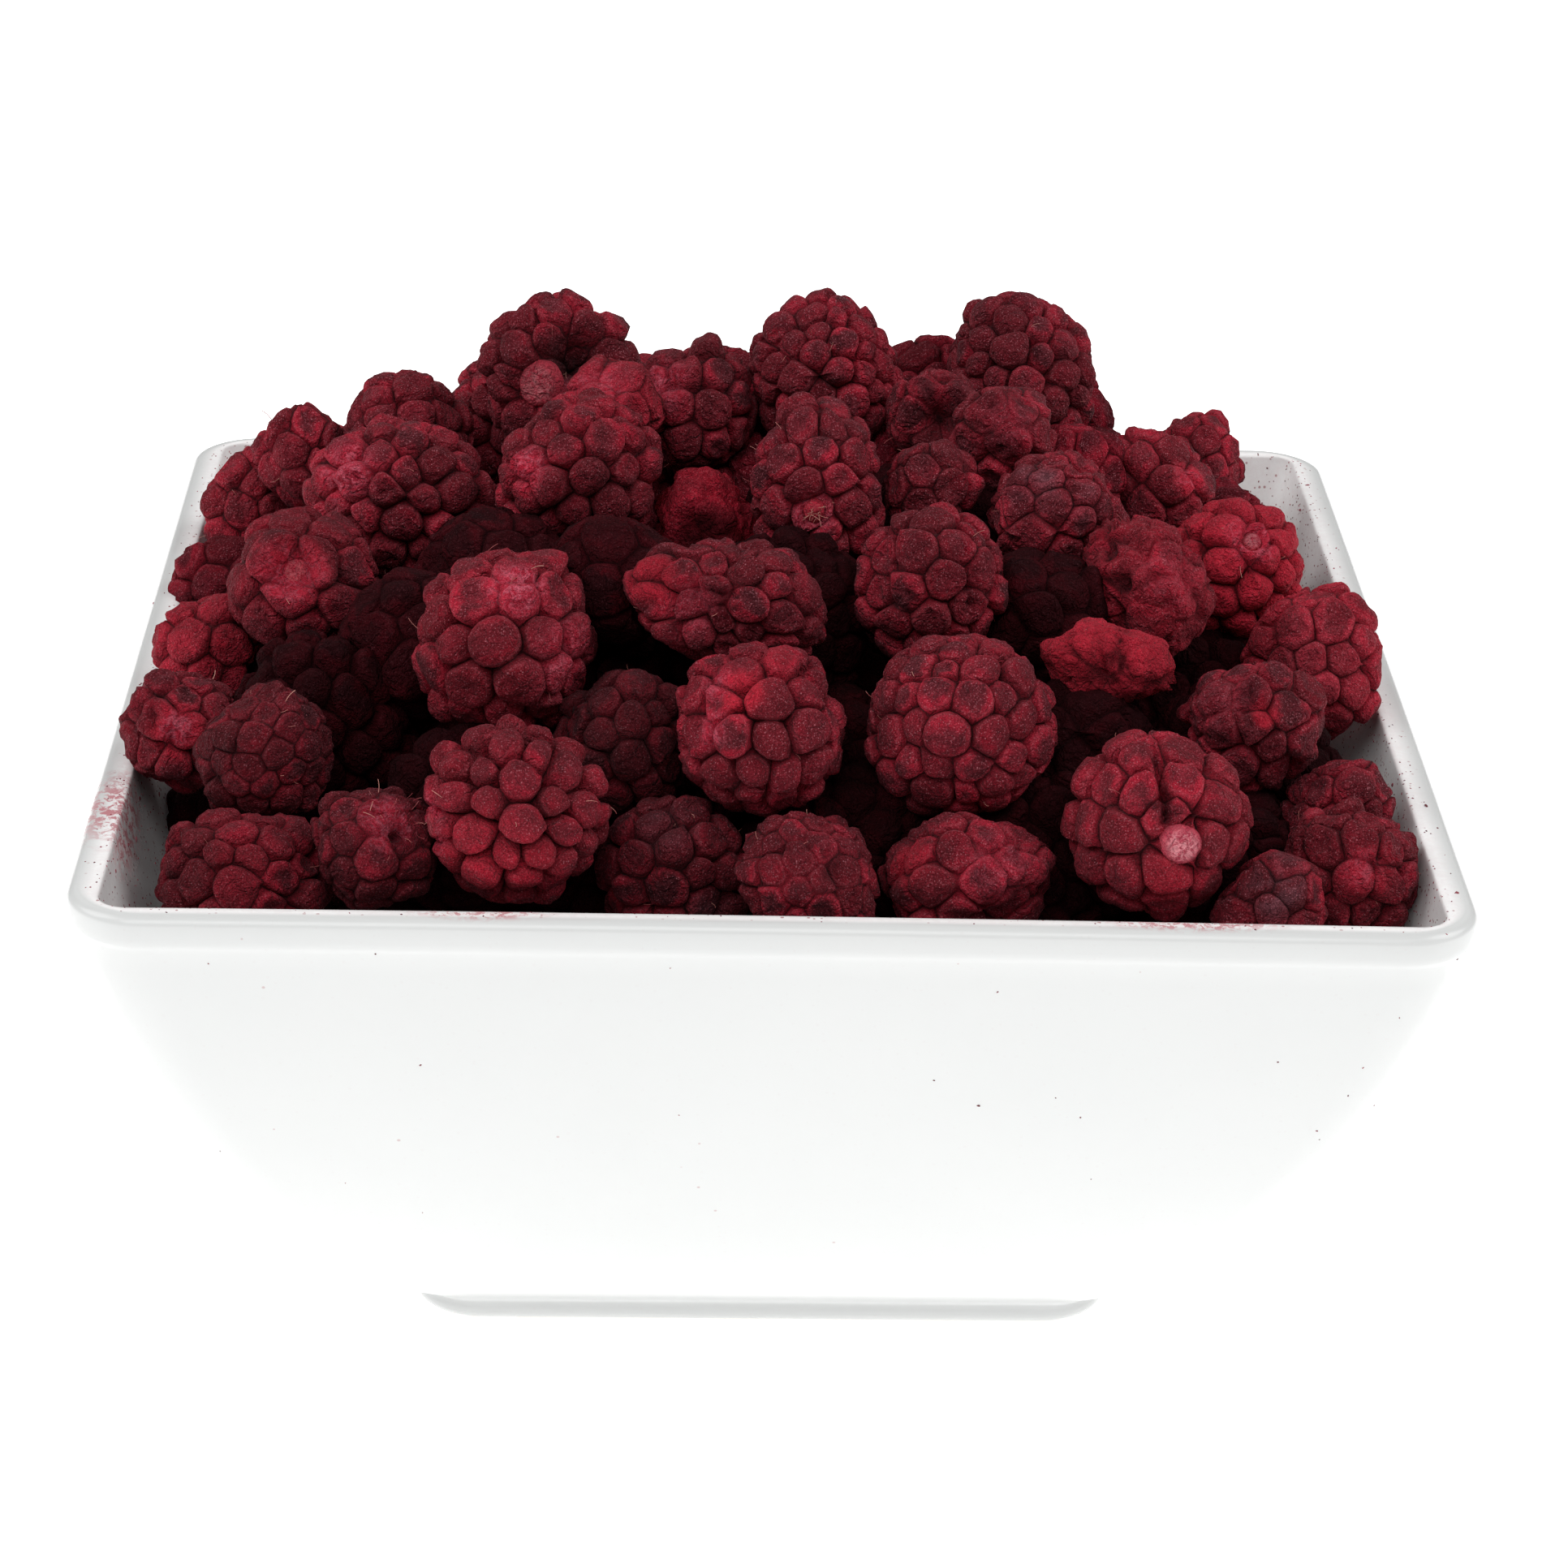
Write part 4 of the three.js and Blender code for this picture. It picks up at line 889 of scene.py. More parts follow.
def foot_outline():
    """The recessed base, the ring that the bowl stands on, and the foot's rounded side."""
    inside = FOOT_HALF - FOOT_RING
    levels = [(inside - 6, FOOT_RECESS, FOOT_CORNER - 4.5), (inside - 1, FOOT_RECESS, FOOT_CORNER - 3),
              (inside - 0.45, 0.9, FOOT_CORNER - 2.7)]
    for half, z, corner in ((0.0, 0.12, -2.5), (0.12, 0.0, -2.5), (3.28, 0.0, 0.0), (3.4, 0.08, 0.0)):
        levels.append((inside + half, z, FOOT_CORNER + corner))
    for half, z in ((0.45, 0.4), (0.75, 0.8), (0.9, 1.3), (0.92, 2.0), (0.8, 2.6)):
        levels.append((FOOT_HALF + half, z, FOOT_CORNER + 0.3))
    return levels


def lip_outline():
    """The upright band under the rim and the rim's rounded outer edge."""
    levels = []
    for half, z in ((0.34, 3.75), (0.12, 3.3), (0.03, 2.7), (0.0, 2.0)):
        levels.append((RIM_HALF - half, BOWL_HEIGHT - z, RIM_CORNER))
    for i in range(1, 9):
        angle = i / 8 * math.pi / 2
        levels.append((RIM_HALF - LIP_ROUND * (1 - math.cos(angle)),
                       BOWL_HEIGHT - 0.04 - LIP_ROUND * (1 - math.sin(angle)), RIM_CORNER - 0.9 * i / 8))
    return levels


def bowl_outline():
    """Half width, height and corner radius from the base, up the outside, over the lip and down inside.

    Returns the levels and the number of the first one that is on the inner side."""
    steps = 34
    outline = foot_outline()
    for i in range(1, steps + 1):
        place, _ = wall_point(i / steps)
        outline.append((place[0], place[1], FOOT_CORNER + (RIM_CORNER - FOOT_CORNER) * i / steps))
    outline.extend(lip_outline())
    first_inner = len(outline)
    inner = RIM_HALF - LIP_THICKNESS
    for half, z, corner in ((1.1, 0.0, 2.4), (0.55, 0.0, 1.2), (0.22, 0.05, 0.6), (0.07, 0.18, 0.3),
                            (0.0, 0.42, 0.1), (-0.1, 0.9, 0.0), (-0.25, 1.8, 0.0)):
        outline.append((inner + half, BOWL_HEIGHT - z, INNER_CORNER + corner))
    for i in range(steps, 6, -1):
        t = i / steps
        place, slope = wall_point(t)
        thickness = WALL_THICKNESS + (LIP_THICKNESS - WALL_THICKNESS) * t ** 3
        half = place[0] - slope[1] * thickness
        z = place[1] + slope[0] * thickness
        if FLOOR_TOP + 2 < z < BOWL_HEIGHT - 3:
            outline.append((half, z, INNER_CORNER + 2.0 * (1 - t)))
    last = outline[-1][0]
    outline.append((last - 7, FLOOR_TOP + 1.2, INNER_CORNER))
    outline.append((last - 12, FLOOR_TOP, INNER_CORNER))
    return outline, first_inner


def square_ring(half, z, corner, narrower):
    """One level of the bowl: a square with round corners, anticlockwise from its right side."""
    side_steps, corner_steps = 12, 10
    arcs = []
    for quarter, signs in enumerate(((1, 1), (-1, 1), (-1, -1), (1, -1))):
        angles = (quarter + np.arange(corner_steps + 1) / corner_steps) * math.pi / 2
        middle = np.array(signs) * (half - corner)
        arcs.append(middle + corner * np.column_stack([np.cos(angles), np.sin(angles)]))
    ring = []
    part = (np.arange(1, side_steps) / side_steps)[:, None]
    for quarter, arc in enumerate(arcs):
        following = arcs[(quarter + 1) % 4][0]
        ring.extend([arc, arc[-1] * (1 - part) + following * part])
    ring = np.concatenate(ring)
    ring[:, 0] *= 1 - narrower / half
    toward_corner = ((ring[:, 0] / RIM_HALF + 1) / 2) ** 2 * ((1 - ring[:, 1] / RIM_HALF) / 2) ** 2
    height = z - CORNER_DIP * toward_corner * (z / BOWL_HEIGHT) ** 3
    return np.column_stack([ring, height])


def add_bowl(material):
    outline, first_inner = bowl_outline()
    rings = [square_ring(*level, SIDE_LIP_EXTRA if number >= first_inner else 0.0)
             for number, level in enumerate(outline)]
    count = len(rings[0])
    points = np.concatenate([np.array([[0, 0, FOOT_RECESS]]), *rings, np.array([[0, 0, FLOOR_TOP]])])
    last = 1 + (len(rings) - 1) * count
    faces = []
    for i in range(count):
        j = (i + 1) % count
        faces.append((0, 1 + j, 1 + i))
        for low in range(1, last, count):
            faces.append((low + i, low + j, low + count + j, low + count + i))
        faces.append((last + i, last + j, len(points) - 1))
    inner = (np.arange(len(points)) > first_inner * count).astype(float)
    colours = {"inner": np.stack([inner] * 4, axis=1)}
    return stand_in("bowl_glazed", stay_in_box(points), faces, colours, material, "bowl")


# Node trees

class Value:
    """A node's output that can be reckoned with: each sum, difference or product adds a Math node."""

    def __init__(self, nodes, socket):
        self.nodes = nodes
        self.socket = socket

    def __add__(self, other):
        return self.nodes.math("ADD", self, other)

    def __mul__(self, other):
        return self.nodes.math("MULTIPLY", self, other)

    def __sub__(self, other):
        return self.nodes.math("SUBTRACT", self, other)

    def __rsub__(self, other):
        return self.nodes.math("SUBTRACT", other, self)


class Nodes:
    """Short hand for building one node tree. An input takes a plain value, a socket or a Value.

    Inputs are given by name, or by number where a node has more than one of the same name."""

    def __init__(self, tree):
        self.tree = tree

    def put(self, socket, value):
        if isinstance(value, Value):
            value = value.socket
        if isinstance(value, bpy.types.NodeSocket):
            self.tree.links.new(value, socket)
        else:
            socket.default_value = value

    def fill(self, node, inputs):
        for key, value in inputs.items():
            self.put(node.inputs[key], value)

    def node(self, kind, inputs=None, **settings):
        node = self.tree.nodes.new(kind)
        for key, value in settings.items():
            setattr(node, key, value)
        self.fill(node, inputs or {})
        return node

    def value(self, kind, inputs=None, output=0, **settings):
        """A new node's output, to reckon with."""
        return Value(self, self.node(kind, inputs, **settings).outputs[output])

    def math(self, operation, first, second=0.0, clamp=False):
        return self.value("ShaderNodeMath", {0: first, 1: second}, operation=operation, use_clamp=clamp)

    def mix(self, amount, first, second):
        """The first colour where the amount is 0, the second where it is 1."""
        return self.value("ShaderNodeMix", {0: amount, 6: first, 7: second}, 2, data_type="RGBA")

    def noise(self, place, scale, detail=2.0, roughness=0.5, distortion=0.0):
        return self.value("ShaderNodeTexNoise", {"Vector": place, "Scale": scale, "Detail": detail,
                                                 "Roughness": roughness, "Distortion": distortion}, "Fac")

    def step(self, value, low, high):
        """0 below low, 1 above high, smooth between."""
        return self.value("ShaderNodeMapRange", {"Value": value, "From Min": low, "From Max": high},
                          "Result", interpolation_type="SMOOTHSTEP")

    def object_place(self):
        return self.value("ShaderNodeTexCoord", output="Object")

    def colour_parts(self, attribute):
        """The red, green, blue and alpha of a colour attribute."""
        colour = self.node("ShaderNodeAttribute", attribute_name=attribute)
        parts = self.node("ShaderNodeSeparateColor", {"Color": colour.outputs["Color"]})
        return [Value(self, socket) for socket in (*parts.outputs[:3], colour.outputs["Alpha"])]

    def bump(self, principled, height, strength, distance):
        bump = self.node("ShaderNodeBump", {"Height": height, "Strength": strength, "Distance": distance})
        self.put(principled.inputs["Normal"], bump.outputs["Normal"])


def new_group(kind, name, inputs, output, output_kind):
    """An empty node group: its inputs are given as (name, kind, default), and it has one output.

    Returns the tree, its builder, its inputs as Values and its output's socket."""
    tree = bpy.data.node_groups.new(name, kind)
    for socket_name, socket_kind, default in inputs:
        socket = tree.interface.new_socket(name=socket_name, in_out="INPUT", socket_type=socket_kind)
        if default is not None:
            socket.default_value = default
    tree.interface.new_socket(name=output, in_out="OUTPUT", socket_type=output_kind)
    s = Nodes(tree)
    given = s.node("NodeGroupInput").outputs
    result = s.node("NodeGroupOutput").inputs[output]
    return tree, s, {item[0]: Value(s, given[item[0]]) for item in inputs}, result


# Loose crumbs on the bowl, and bristles on the fruit: Geometry Nodes

FULL_TURN = 6.28


def random_vector(s, low, high, seed):
    """A random vector between two others. The node's first inputs are those for vectors."""
    return s.value("FunctionNodeRandomValue", {0: low, 1: high, "Seed": seed}, data_type="FLOAT_VECTOR")


def random_number(s, low, high, seed):
    """A random number between two others, from the node's inputs and output for plain numbers."""
    return s.value("FunctionNodeRandomValue", {2: low, 3: high, "Seed": seed}, 1, data_type="FLOAT")


def turned(s, rotation, turn):
    """A rotation turned further about the grown piece's own axes."""
    return s.value("FunctionNodeRotateRotation", {"Rotation": rotation, "Rotate By": turn},
                   rotation_space="LOCAL")


def place_copies(s, points, form, rotation, scale, material, result):
    """Places a form on each point, as real mesh with its material."""
    placed = s.value("GeometryNodeInstanceOnPoints", {
        "Points": points, "Instance": form, "Rotation": rotation, "Scale": scale})
    real = s.value("GeometryNodeRealizeInstances", {"Geometry": placed})
    s.put(result, s.value("GeometryNodeSetMaterial", {"Geometry": real, "Material": material}))


def crumb_tree(material):
    """Crumbs of dry fruit scattered over a surface, thick where its dusty attribute is high."""
    tree, s, given, result = new_group("GeometryNodeTree", "fruit_crumbs", [
        ("Surface", "NodeSocketGeometry", None), ("Density", "NodeSocketFloat", 1000.0),
        ("Size", "NodeSocketFloat", 0.0002), ("Seed", "NodeSocketInt", 3)], "Crumbs", "NodeSocketGeometry")
    dusty = s.value("GeometryNodeInputNamedAttribute", {"Name": "dusty"}, "Attribute", data_type="FLOAT")
    scatter = s.node("GeometryNodeDistributePointsOnFaces", {
        "Mesh": given["Surface"], "Density": given["Density"] * dusty, "Seed": given["Seed"]})
    grain = s.value("GeometryNodeMeshIcoSphere", {"Subdivisions": 1, "Radius": given["Size"]})
    size = random_vector(s, (0.35, 0.35, 0.25), (1.3, 1.15, 0.8), given["Seed"])
    turn = random_vector(s, (-0.5, -0.5, 0.0), (0.5, 0.5, FULL_TURN), given["Seed"])
    rotation = turned(s, scatter.outputs["Rotation"], turn)
    place_copies(s, scatter.outputs["Points"], grain, rotation, size, material, result)
    return tree


def bristle_tree(material):
    """A thin bent bristle on each seed point, along the point's leaning."""
    tree, s, given, result = new_group("GeometryNodeTree", "pale_bristles", [
        ("Seeds", "NodeSocketGeometry", None), ("Length", "NodeSocketFloat", 0.002),
        ("Thickness", "NodeSocketFloat", 0.00006), ("Seed", "NodeSocketInt", 5)],
        "Bristles", "NodeSocketGeometry")

    def stalk_point(aside, along):
        return s.value("ShaderNodeCombineXYZ", {"X": given["Length"] * aside, "Z": given["Length"] * along})

    stalk = s.value("GeometryNodeCurveQuadraticBezier", {
        "Resolution": 5, "Start": stalk_point(0.0, 0.0), "Middle": stalk_point(0.02, 0.6),
        "End": stalk_point(0.34, 1.0)})
    taper = 1.15 - s.value("GeometryNodeSplineParameter", output="Factor")
    slim = s.value("GeometryNodeSetCurveRadius", {"Curve": stalk, "Radius": taper})
    section = s.value("GeometryNodeCurvePrimitiveCircle", {"Resolution": 4, "Radius": given["Thickness"]})
    bristle = s.value("GeometryNodeCurveToMesh", {"Curve": slim, "Profile Curve": section, "Fill Caps": True})

    leaning = s.value("GeometryNodeInputNamedAttribute", {"Name": "leaning"}, "Attribute",
                      data_type="FLOAT_VECTOR")
    stand = s.value("FunctionNodeAlignRotationToVector", {"Vector": leaning}, axis="Z")
    turn = random_vector(s, (0.0, 0.0, 0.0), (0.0, 0.0, FULL_TURN), given["Seed"])
    size = random_number(s, 0.45, 1.3, given["Seed"])
    place_copies(s, given["Seeds"], bristle, turned(s, stand, turn), size, material, result)
    return tree


def made_by_nodes(name, base_mesh, tree, values):
    """A plain mesh object from a Geometry Nodes tree run once on a base mesh."""
    carrier = bpy.data.objects.new(name + "_base", base_mesh)
    bpy.context.scene.collection.objects.link(carrier)
    modifier = carrier.modifiers.new("grow", "NODES")
    modifier.node_group = tree
    # The modifier knows its inputs by their identifiers
    for socket in tree.interface.items_tree:
        if socket.name in values:
            modifier[socket.identifier] = values[socket.name]
    graph = bpy.context.evaluated_depsgraph_get()
    mesh = bpy.data.meshes.new_from_object(carrier.evaluated_get(graph), depsgraph=graph)
    carrier.modifiers.remove(modifier)
    bpy.data.objects.remove(carrier)
    mesh.name = name
    made = bpy.data.objects.new(name, mesh)
    bpy.context.scene.collection.objects.link(made)
    return made


def mesh_points(mesh):
    """The points of a mesh, in millimetres."""
    points = np.empty(len(mesh.vertices) * 3)
    mesh.vertices.foreach_get("co", points)
    return points.reshape(-1, 3) / MM


def add_crumbs(bowl, material):
    """Crumbs and specks of fruit on the rim and the inner walls, few on the outside."""
    base = bowl.data.copy()
    points = mesh_points(base)
    marks = np.empty(len(points) * 4)
    base.attributes["inner"].data.foreach_get("color", marks)
    # Thick high up inside, thickest along the left and right walls, and a trace of dust outside
    inner = marks.reshape(-1, 4)[:, 0] * soft_step(points[:, 2], 44, 58)
    sides = 0.3 + 0.7 * soft_step(np.abs(points[:, 0]), 60, 70)
    trace = 0.012 * soft_step(points[:, 2], 10, 50)
    dusty = np.maximum(inner * sides, trace)
    layer = base.attributes.new("dusty", "FLOAT", "POINT")
    layer.data.foreach_set("value", dusty.astype(np.float32))
    tree = crumb_tree(material)
    kinds = {"rim_crumbs": {"Density": 340000.0, "Size": 0.00014, "Seed": 7},
             "larger_crumbs": {"Density": 7000.0, "Size": 0.00036, "Seed": 21}}
    for name, values in kinds.items():
        crumbs = made_by_nodes(name, base.copy(), tree, values)
        inside = stay_in_box(mesh_points(crumbs.data)) * MM
        crumbs.data.vertices.foreach_set("co", inside.ravel())
        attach(crumbs, "root")


def add_bristles(roots, leanings, material):
    seeds = bpy.data.meshes.new("bristle_seeds")
    seeds.from_pydata((roots * MM).tolist(), [], [])
    layer = seeds.attributes.new("leaning", "FLOAT_VECTOR", "POINT")
    layer.data.foreach_set("vector", leanings.astype(np.float32).ravel())
    bristles = made_by_nodes("fruit_bristles", seeds, bristle_tree(material),
                             {"Length": 0.0013, "Thickness": 0.000032, "Seed": 11})
    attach(bristles, "root")


# Materials. Colours are linear.

DEEP_CRIMSON, LIT_CRIMSON = (0.170, 0.0062, 0.0142, 1), (0.500, 0.0165, 0.0415, 1)
DEEP_MAROON, LIT_MAROON = (0.076, 0.0086, 0.0136, 1), (0.190, 0.0195, 0.0315, 1)
PAINTED_EDGE_SHEEN = (0.62, 0.14, 0.18, 1)
VIVID_RED = (0.65, 0.020, 0.046, 1)
RED_FLESH, PALE_FIBRE = (0.60, 0.022, 0.060, 1), (0.76, 0.15, 0.22, 1)
GREY_BLOOM = (0.17, 0.075, 0.095, 1)
PAINTED_CREASE_SHADE = (0.016, 0.0034, 0.0046, 1)
NAP_DARK = (0.02, 0.0032, 0.0048, 1)
PINK_DUST_AND_SHEEN = (0.72, 0.26, 0.31, 1)
RED_PITH, PALE_PITH, PITH_RIM = (0.45, 0.045, 0.08, 1), (0.86, 0.31, 0.35, 1), (0.50, 0.032, 0.065, 1)
NEARLY_BLACK = (0.009, 0.0013, 0.0019, 1)
SHEEN_PINK = (1.0, 0.6, 0.66, 1)
DARK_CRUMB, PALE_CRUMB = (0.10, 0.012, 0.02, 1), (0.36, 0.085, 0.11, 1)
RED_BRISTLE, STRAW_BRISTLE = (0.36, 0.05, 0.06, 1), (0.60, 0.28, 0.22, 1)
GREY_GLAZE, WHITE_GLAZE = (0.672, 0.682, 0.676, 1), (0.706, 0.713, 0.706, 1)
PAINTED_LIGHT_INNER_GLAZE = (0.95, 0.945, 0.94, 1)
RUBBED_RED, DUST_FILM, SPECK = (0.48, 0.09, 0.12, 1), (0.60, 0.36, 0.38, 1), (0.42, 0.17, 0.18, 1)
BARE_CLAY = (0.72, 0.67, 0.60, 1)


def fine_specks_group():
    """Small spots: one in each cell of a random grid that is picked."""
    tree, s, given, result = new_group("ShaderNodeTree", "fine_specks", [
        ("Place", "NodeSocketVector", None), ("Cells", "NodeSocketFloat", 900.0),
        ("Share", "NodeSocketFloat", 0.2), ("Radius", "NodeSocketFloat", 0.2)], "Amount", "NodeSocketFloat")
    grid = s.node("ShaderNodeTexVoronoi", {"Vector": given["Place"], "Scale": given["Cells"]})
    random = s.node("ShaderNodeSeparateColor", {"Color": grid.outputs["Color"]})
    picked = s.math("LESS_THAN", random.outputs[0], given["Share"])
    radius = given["Radius"] * (Value(s, random.outputs[1]) + 0.4)
    s.put(result, picked * s.step(grid.outputs["Distance"], radius, radius * 0.5))
    return tree


def dry_wrinkles_group():
    """Height of dry skin: sharp folds, soft lumps and a fine velvet grain."""
    tree, s, given, result = new_group("ShaderNodeTree", "dry_wrinkles", [
        ("Place", "NodeSocketVector", None), ("Folds", "NodeSocketFloat", 0.5),
        ("Grain", "NodeSocketFloat", 0.25)], "Height", "NodeSocketFloat")
    winding = s.noise(given["Place"], 620.0, 3.0, 0.55, 0.8)
    fold = s.math("POWER", 1.0 - s.math("ABSOLUTE", winding * 2.0 - 1.0), 3.0)
    lumps = s.noise(given["Place"], 900.0, 4.0, 0.6, 0.4)
    grain = s.noise(given["Place"], 4200.0, 2.0, 0.6)
    s.put(result, lumps - fold * given["Folds"] + grain * given["Grain"])
    return tree


def new_material(name):
    material = bpy.data.materials.new(name)
    material.use_nodes = True
    material.node_tree.nodes.clear()
    s = Nodes(material.node_tree)
    principled = s.node("ShaderNodeBsdfPrincipled")
    s.node("ShaderNodeOutputMaterial", {"Surface": principled.outputs["BSDF"]})
    return material, s, principled


def wrinkle_height(s, wrinkles, place, folds, grain):
    return s.value("ShaderNodeGroup", {"Place": place, "Folds": folds, "Grain": grain}, node_tree=wrinkles)


def speck_amount(s, specks, place, cells, share, radius):
    return s.value("ShaderNodeGroup", {"Place": place, "Cells": cells, "Share": share, "Radius": radius},
                   node_tree=specks)


def berry_material(name, specks, wrinkles, specular, sheen):
    """Dry velvety skin: maroon tops, crimson sides, torn red flesh, pale core, pale dust with a painted
    velvet highlight, and painted shade in the creases and where the berry lies deep.
    """
    material, s, principled = new_material(name)
    place = s.object_place()
    shade, rise, bright, shade_and_dark_tone = s.colour_parts("look")
    core, torn, grey, out = s.colour_parts("stain")
    patches = s.noise(place, 330.0, 4.0, 0.62)
    broad = s.noise(place, 75.0, 2.0, 0.5)
    fibres = s.noise(place, 800.0, 5.0, 0.7, 1.2)
    nap = s.noise(place, 5200.0, 2.0, 0.65)
    mottle = s.noise(place, 1500.0, 4.0, 0.75, 0.8)

    # Crimson sides, and a maroon cap that is worn off at random
    tone = shade * 0.35 + broad * 0.7 + patches * 0.3
    colour = s.mix(s.step(tone, 0.45, 0.95), DEEP_CRIMSON, LIT_CRIMSON)
    cap = 1.0 - s.step(out + (patches - 0.5) * 2.6, 0.35, 1.0)
    maroon = s.mix(s.step(patches, 0.3, 0.7), DEEP_MAROON, LIT_MAROON)
    colour = s.mix(cap * (shade * 0.65 + 0.35), colour, maroon)
    # A pale line along each drupelet's edge: painted velvet sheen, as rim light on the folded skin
    edge = s.math("SUBTRACT", 1.0, s.math("ABSOLUTE", (out - 0.84) * 9.0), clamp=True)
    colour = s.mix(edge * s.step(patches, 0.35, 0.65) * 0.22, colour, PAINTED_EDGE_SHEEN)

    # Bright patches, torn flesh and grey bloom, where the berry's marks put them
    lift = bright * (patches * 0.9 + 0.55)
    colour = s.mix(s.step(lift, 0.0, 1.0) * 0.75, colour, VIVID_RED)
    flesh = s.mix(s.step(fibres, 0.42, 0.68), RED_FLESH, PALE_FIBRE)
    colour = s.mix(torn * (s.step(fibres, 0.36, 0.6) * 0.45 + 0.4), colour, flesh)
    colour = s.mix(grey * s.step(patches, 0.35, 0.65), colour, GREY_BLOOM)

    # Painted shade in the creases, dark roots of the nap, and pale dust with a painted velvet highlight on
    # what stands out
    # Painted shade: creases, low between the drupelets, are darkened towards near black
    crease_shade = s.step(rise, 0.30, 0.04) * 0.45 + s.step(rise, 0.85, 0.1) * 0.45
    colour = s.mix(crease_shade * (1.0 - torn * 0.7) * 0.88, colour, PAINTED_CREASE_SHADE)
    colour = s.mix(s.step(nap, 0.55, 0.3) * 0.5, colour, NAP_DARK)
    # Pale pink dust, with a painted velvet highlight, on the raised parts of the drupelets
    dust_and_sheen = speck_amount(s, specks, place, 4200.0, 0.25, 0.36)
    dust_and_sheen = s.math("MAXIMUM", dust_and_sheen, s.step(nap, 0.57, 0.72) * 0.9)
    dust_and_sheen = dust_and_sheen * s.step(rise, 0.2, 0.75) * (1.0 - bright * 0.7)
    colour = s.mix(dust_and_sheen * 0.45, colour, PINK_DUST_AND_SHEEN)

    # The pale core of the stem end, redder round its rim
    pith = s.mix(s.step(mottle, 0.38, 0.62), RED_PITH, PALE_PITH)
    rim = s.step(out + (mottle - 0.5) * 1.2, 0.7, 1.0)
    colour = s.mix(core, colour, s.mix(rim * 0.8, pith, PITH_RIM))
    # Painted shade: the darkening pulls the colour towards near black, mostly as shade where a berry lies low
    # or in a hollow
    colour = s.mix(shade_and_dark_tone * 0.94, colour, NEARLY_BLACK)

    s.fill(principled, {"Base Color": colour, "Roughness": patches * 0.25 + 0.68,
                        "Specular IOR Level": specular, "Sheen Weight": sheen,
                        "Sheen Roughness": 0.3, "Sheen Tint": SHEEN_PINK})
    s.bump(principled, wrinkle_height(s, wrinkles, place, 0.6, 0.4), 1.0, 0.0008)
    return material


def crumb_material(wrinkles):
    """Crumbs of the same fruit, dark red with paler grains."""
    material, s, principled = new_material("fruit_crumb")
    place = s.object_place()
    tone = s.noise(place, 420.0)
    s.fill(principled, {"Base Color": s.mix(s.step(tone, 0.35, 0.65), DARK_CRUMB, PALE_CRUMB),
                        "Roughness": tone * 0.3 + 0.6})
    s.bump(principled, wrinkle_height(s, wrinkles, place, 0.2, 0.6), 0.5, 0.0002)
    return material


def bristle_material():
    """Dry styles of the fruit: pale straw pink, redder towards some roots."""
    material, s, principled = new_material("pale_bristle")
    tone = s.noise(s.object_place(), 240.0)
    s.fill(principled, {"Base Color": s.mix(s.step(tone, 0.35, 0.65), RED_BRISTLE, STRAW_BRISTLE),
                        "Roughness": tone * 0.3 + 0.45})
    return material


def round_patch(s, place, centre, size):
    """1 in the middle of an oval patch, falling to 0 at its edge. Its centre and half sizes are in metres."""
    mapped = s.value("ShaderNodeMapping", {"Vector": place, "Location": centre, "Scale": size},
                     vector_type="TEXTURE")
    length = s.value("ShaderNodeVectorMath", {0: mapped}, "Value", operation="LENGTH")
    return 1.0 - s.step(length, 0.35, 1.0)


def bowl_material(specks):
    """White glaze, faintly uneven and painted lighter inside as painted light, with red dust where fruit has
    rubbed, and a bare foot ring.
    """
    material, s, principled = new_material("white_glaze")
    place = s.object_place()
    height = s.value("ShaderNodeSeparateXYZ", {0: place}, "Z")
    inner = s.value("ShaderNodeAttribute", output="Fac", attribute_name="inner")
    dusty = inner * s.step(height, 0.035, 0.060) + 0.04
    smear = s.noise(place, 900.0, 5.0, 0.75, 0.6)
    # The outer glaze is painted greyer and the inner side much lighter: painted light that lifts the inner
    # walls the lamps reach little
    colour = s.mix(s.noise(place, 30.0, 3.0, 0.5), GREY_GLAZE, WHITE_GLAZE)
    colour = s.mix(inner, colour, PAINTED_LIGHT_INNER_GLAZE)

    # Rubbed red spots on the left rim and under the front lip, a film of dust and scattered specks
    left_rim = round_patch(s, place, (-0.0716, -0.047, 0.0665), (0.0055, 0.014, 0.006))
    under_lip = s.math("MAXIMUM", round_patch(s, place, (-0.031, -0.0726, 0.068), (0.009, 0.0020, 0.003)),
                       round_patch(s, place, (0.044, -0.0726, 0.068), (0.012, 0.0020, 0.003)))
    rubbed = s.math("MAXIMUM", left_rim, under_lip * 0.9) * s.step(smear, 0.45, 0.55)
    colour = s.mix(rubbed * 0.85, colour, RUBBED_RED)
    colour = s.mix(dusty * s.step(smear, 0.3, 0.7) * 0.13, colour, DUST_FILM)
    few = speck_amount(s, specks, place, 520.0, 0.035, 0.10)
    many = speck_amount(s, specks, place, 1500.0, 0.26, 0.28)
    colour = s.mix(s.math("MAXIMUM", few * 0.6, many * dusty) * 0.75, colour, SPECK)
    bare = 1.0 - s.step(height, 0.00012, 0.0004)
    rough = s.noise(place, 160.0, 3.0, 0.6) * 0.08 + 0.17
    s.fill(principled, {"Base Color": s.mix(bare, colour, BARE_CLAY), "Specular IOR Level": 0.42,
                        "Roughness": rough + s.math("MAXIMUM", rubbed, bare) * 0.5})
    s.bump(principled, s.noise(place, 45.0) + s.noise(place, 900.0) * 0.02, 0.25, 0.0006)
    return material


# Floor and light

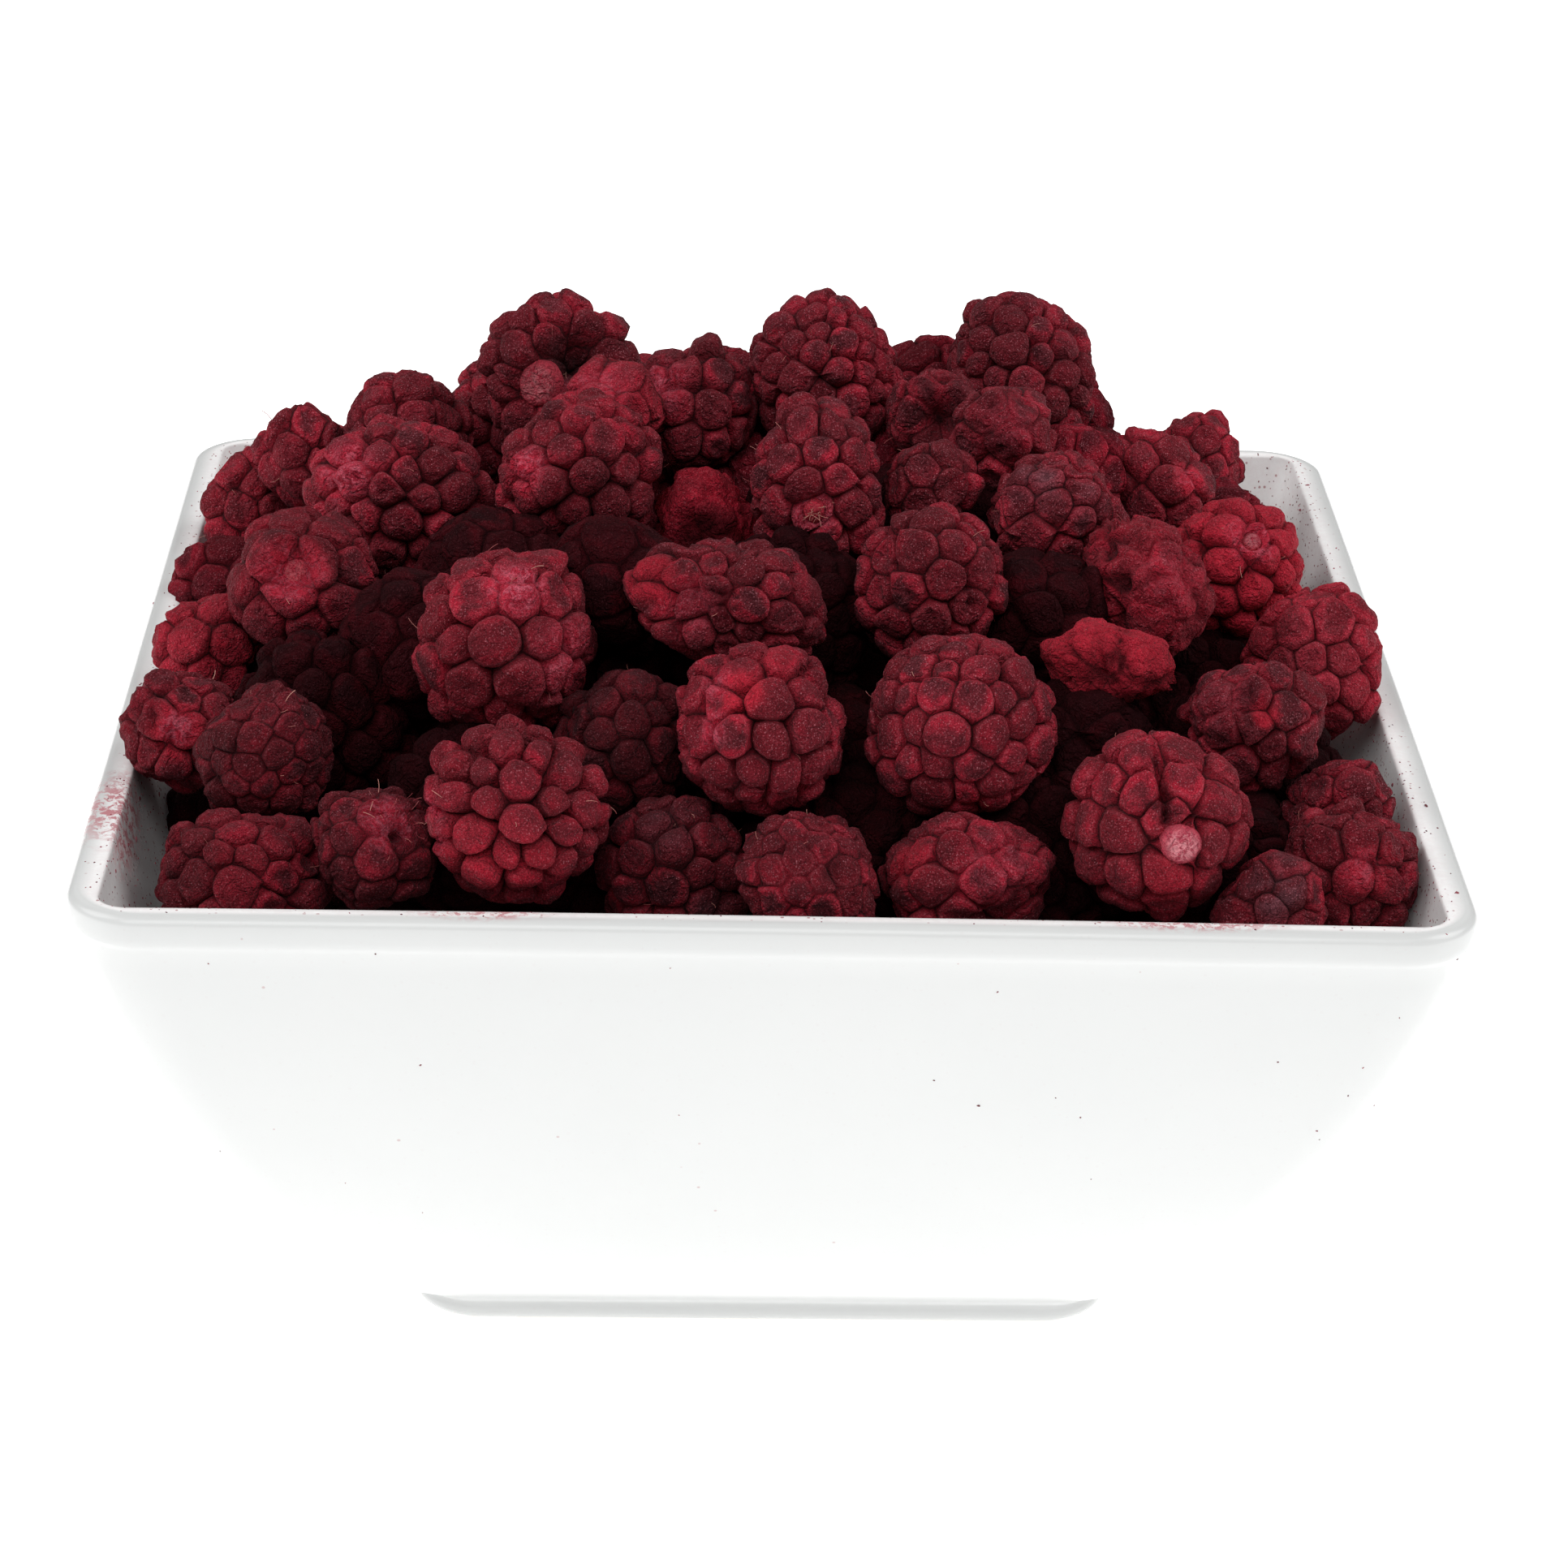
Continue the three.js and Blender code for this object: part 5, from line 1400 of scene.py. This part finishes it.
def add_floor():
    """A white table that glows as painted light, brighter away from the bowl, as lit studio paper is."""
    mesh = bpy.data.meshes.new("floor")
    corners = [(-3.0, -3.0, 0), (3.0, -3.0, 0), (3.0, 3.0, 0), (-3.0, 3.0, 0)]
    mesh.from_pydata(corners, [], [(0, 1, 2, 3)])
    floor = bpy.data.objects.new("floor", mesh)
    bpy.context.scene.collection.objects.link(floor)
    material, s, principled = new_material("white_floor")
    away = s.value("ShaderNodeVectorMath", {0: s.object_place()}, "Value", operation="LENGTH")
    glow = s.mix(s.step(away, 0.15, 1.2), (0.76, 0.76, 0.76, 1), (0.97, 0.97, 0.97, 1))
    s.fill(principled, {"Base Color": (0.9, 0.9, 0.9, 1), "Roughness": 0.9, "Specular IOR Level": 0.0,
                        "Emission Color": glow, "Emission Strength": 1.0})
    mesh.materials.append(material)


def add_light(name, place, target, size, power):
    """A soft white box of light, its sides and places in metres, its power in watts."""
    data = bpy.data.lights.new(name, "AREA")
    data.shape = "RECTANGLE"
    data.size, data.size_y = size
    data.energy = power
    light = bpy.data.objects.new(name, data)
    light.location = place
    light.rotation_euler = (Vector(target) - Vector(place)).to_track_quat("-Z", "Y").to_euler()
    bpy.context.scene.collection.objects.link(light)


def add_studio():
    world = bpy.data.worlds.new("studio_air")
    bpy.context.scene.world = world
    world.use_nodes = True
    background = world.node_tree.nodes["Background"]
    background.inputs["Color"].default_value = (1, 1, 1, 1)
    background.inputs["Strength"].default_value = 0.18
    add_light("key_box", (-0.14, -0.80, 1.02), (0, 0, 0.06), (0.9, 0.7), 5.75)
    add_light("left_box", (-0.9, 0.0, 0.95), (0, 0, 0.05), (0.8, 0.8), 6.6)
    add_light("right_box", (0.9, 0.0, 0.95), (0, 0, 0.05), (0.8, 0.8), 7.2)
    add_light("back_box", (0.0, 1.1, 0.8), (0, 0, 0.06), (1.4, 0.5), 1.3)
    bpy.context.scene.view_settings.view_transform = "Standard"


def main():
    add_camera()
    add_floor()
    add_studio()
    specks = fine_specks_group()
    wrinkles = dry_wrinkles_group()
    skin = berry_material("dried_berry_skin", specks, wrinkles, specular=0.12, sheen=0.03)
    # A shaded copy of the skin for the hidden berries, with less specular and no sheen: painted shade
    shaded_skin = berry_material("shaded_berry_skin", specks, wrinkles, specular=0.05, sheen=0.0)
    bowl = add_bowl(bowl_material(specks))
    roots, leanings = add_shown_berries(skin)
    add_hidden_berries(shaded_skin)
    add_crumbs(bowl, crumb_material(wrinkles))
    add_bristles(roots, leanings, bristle_material())


main()
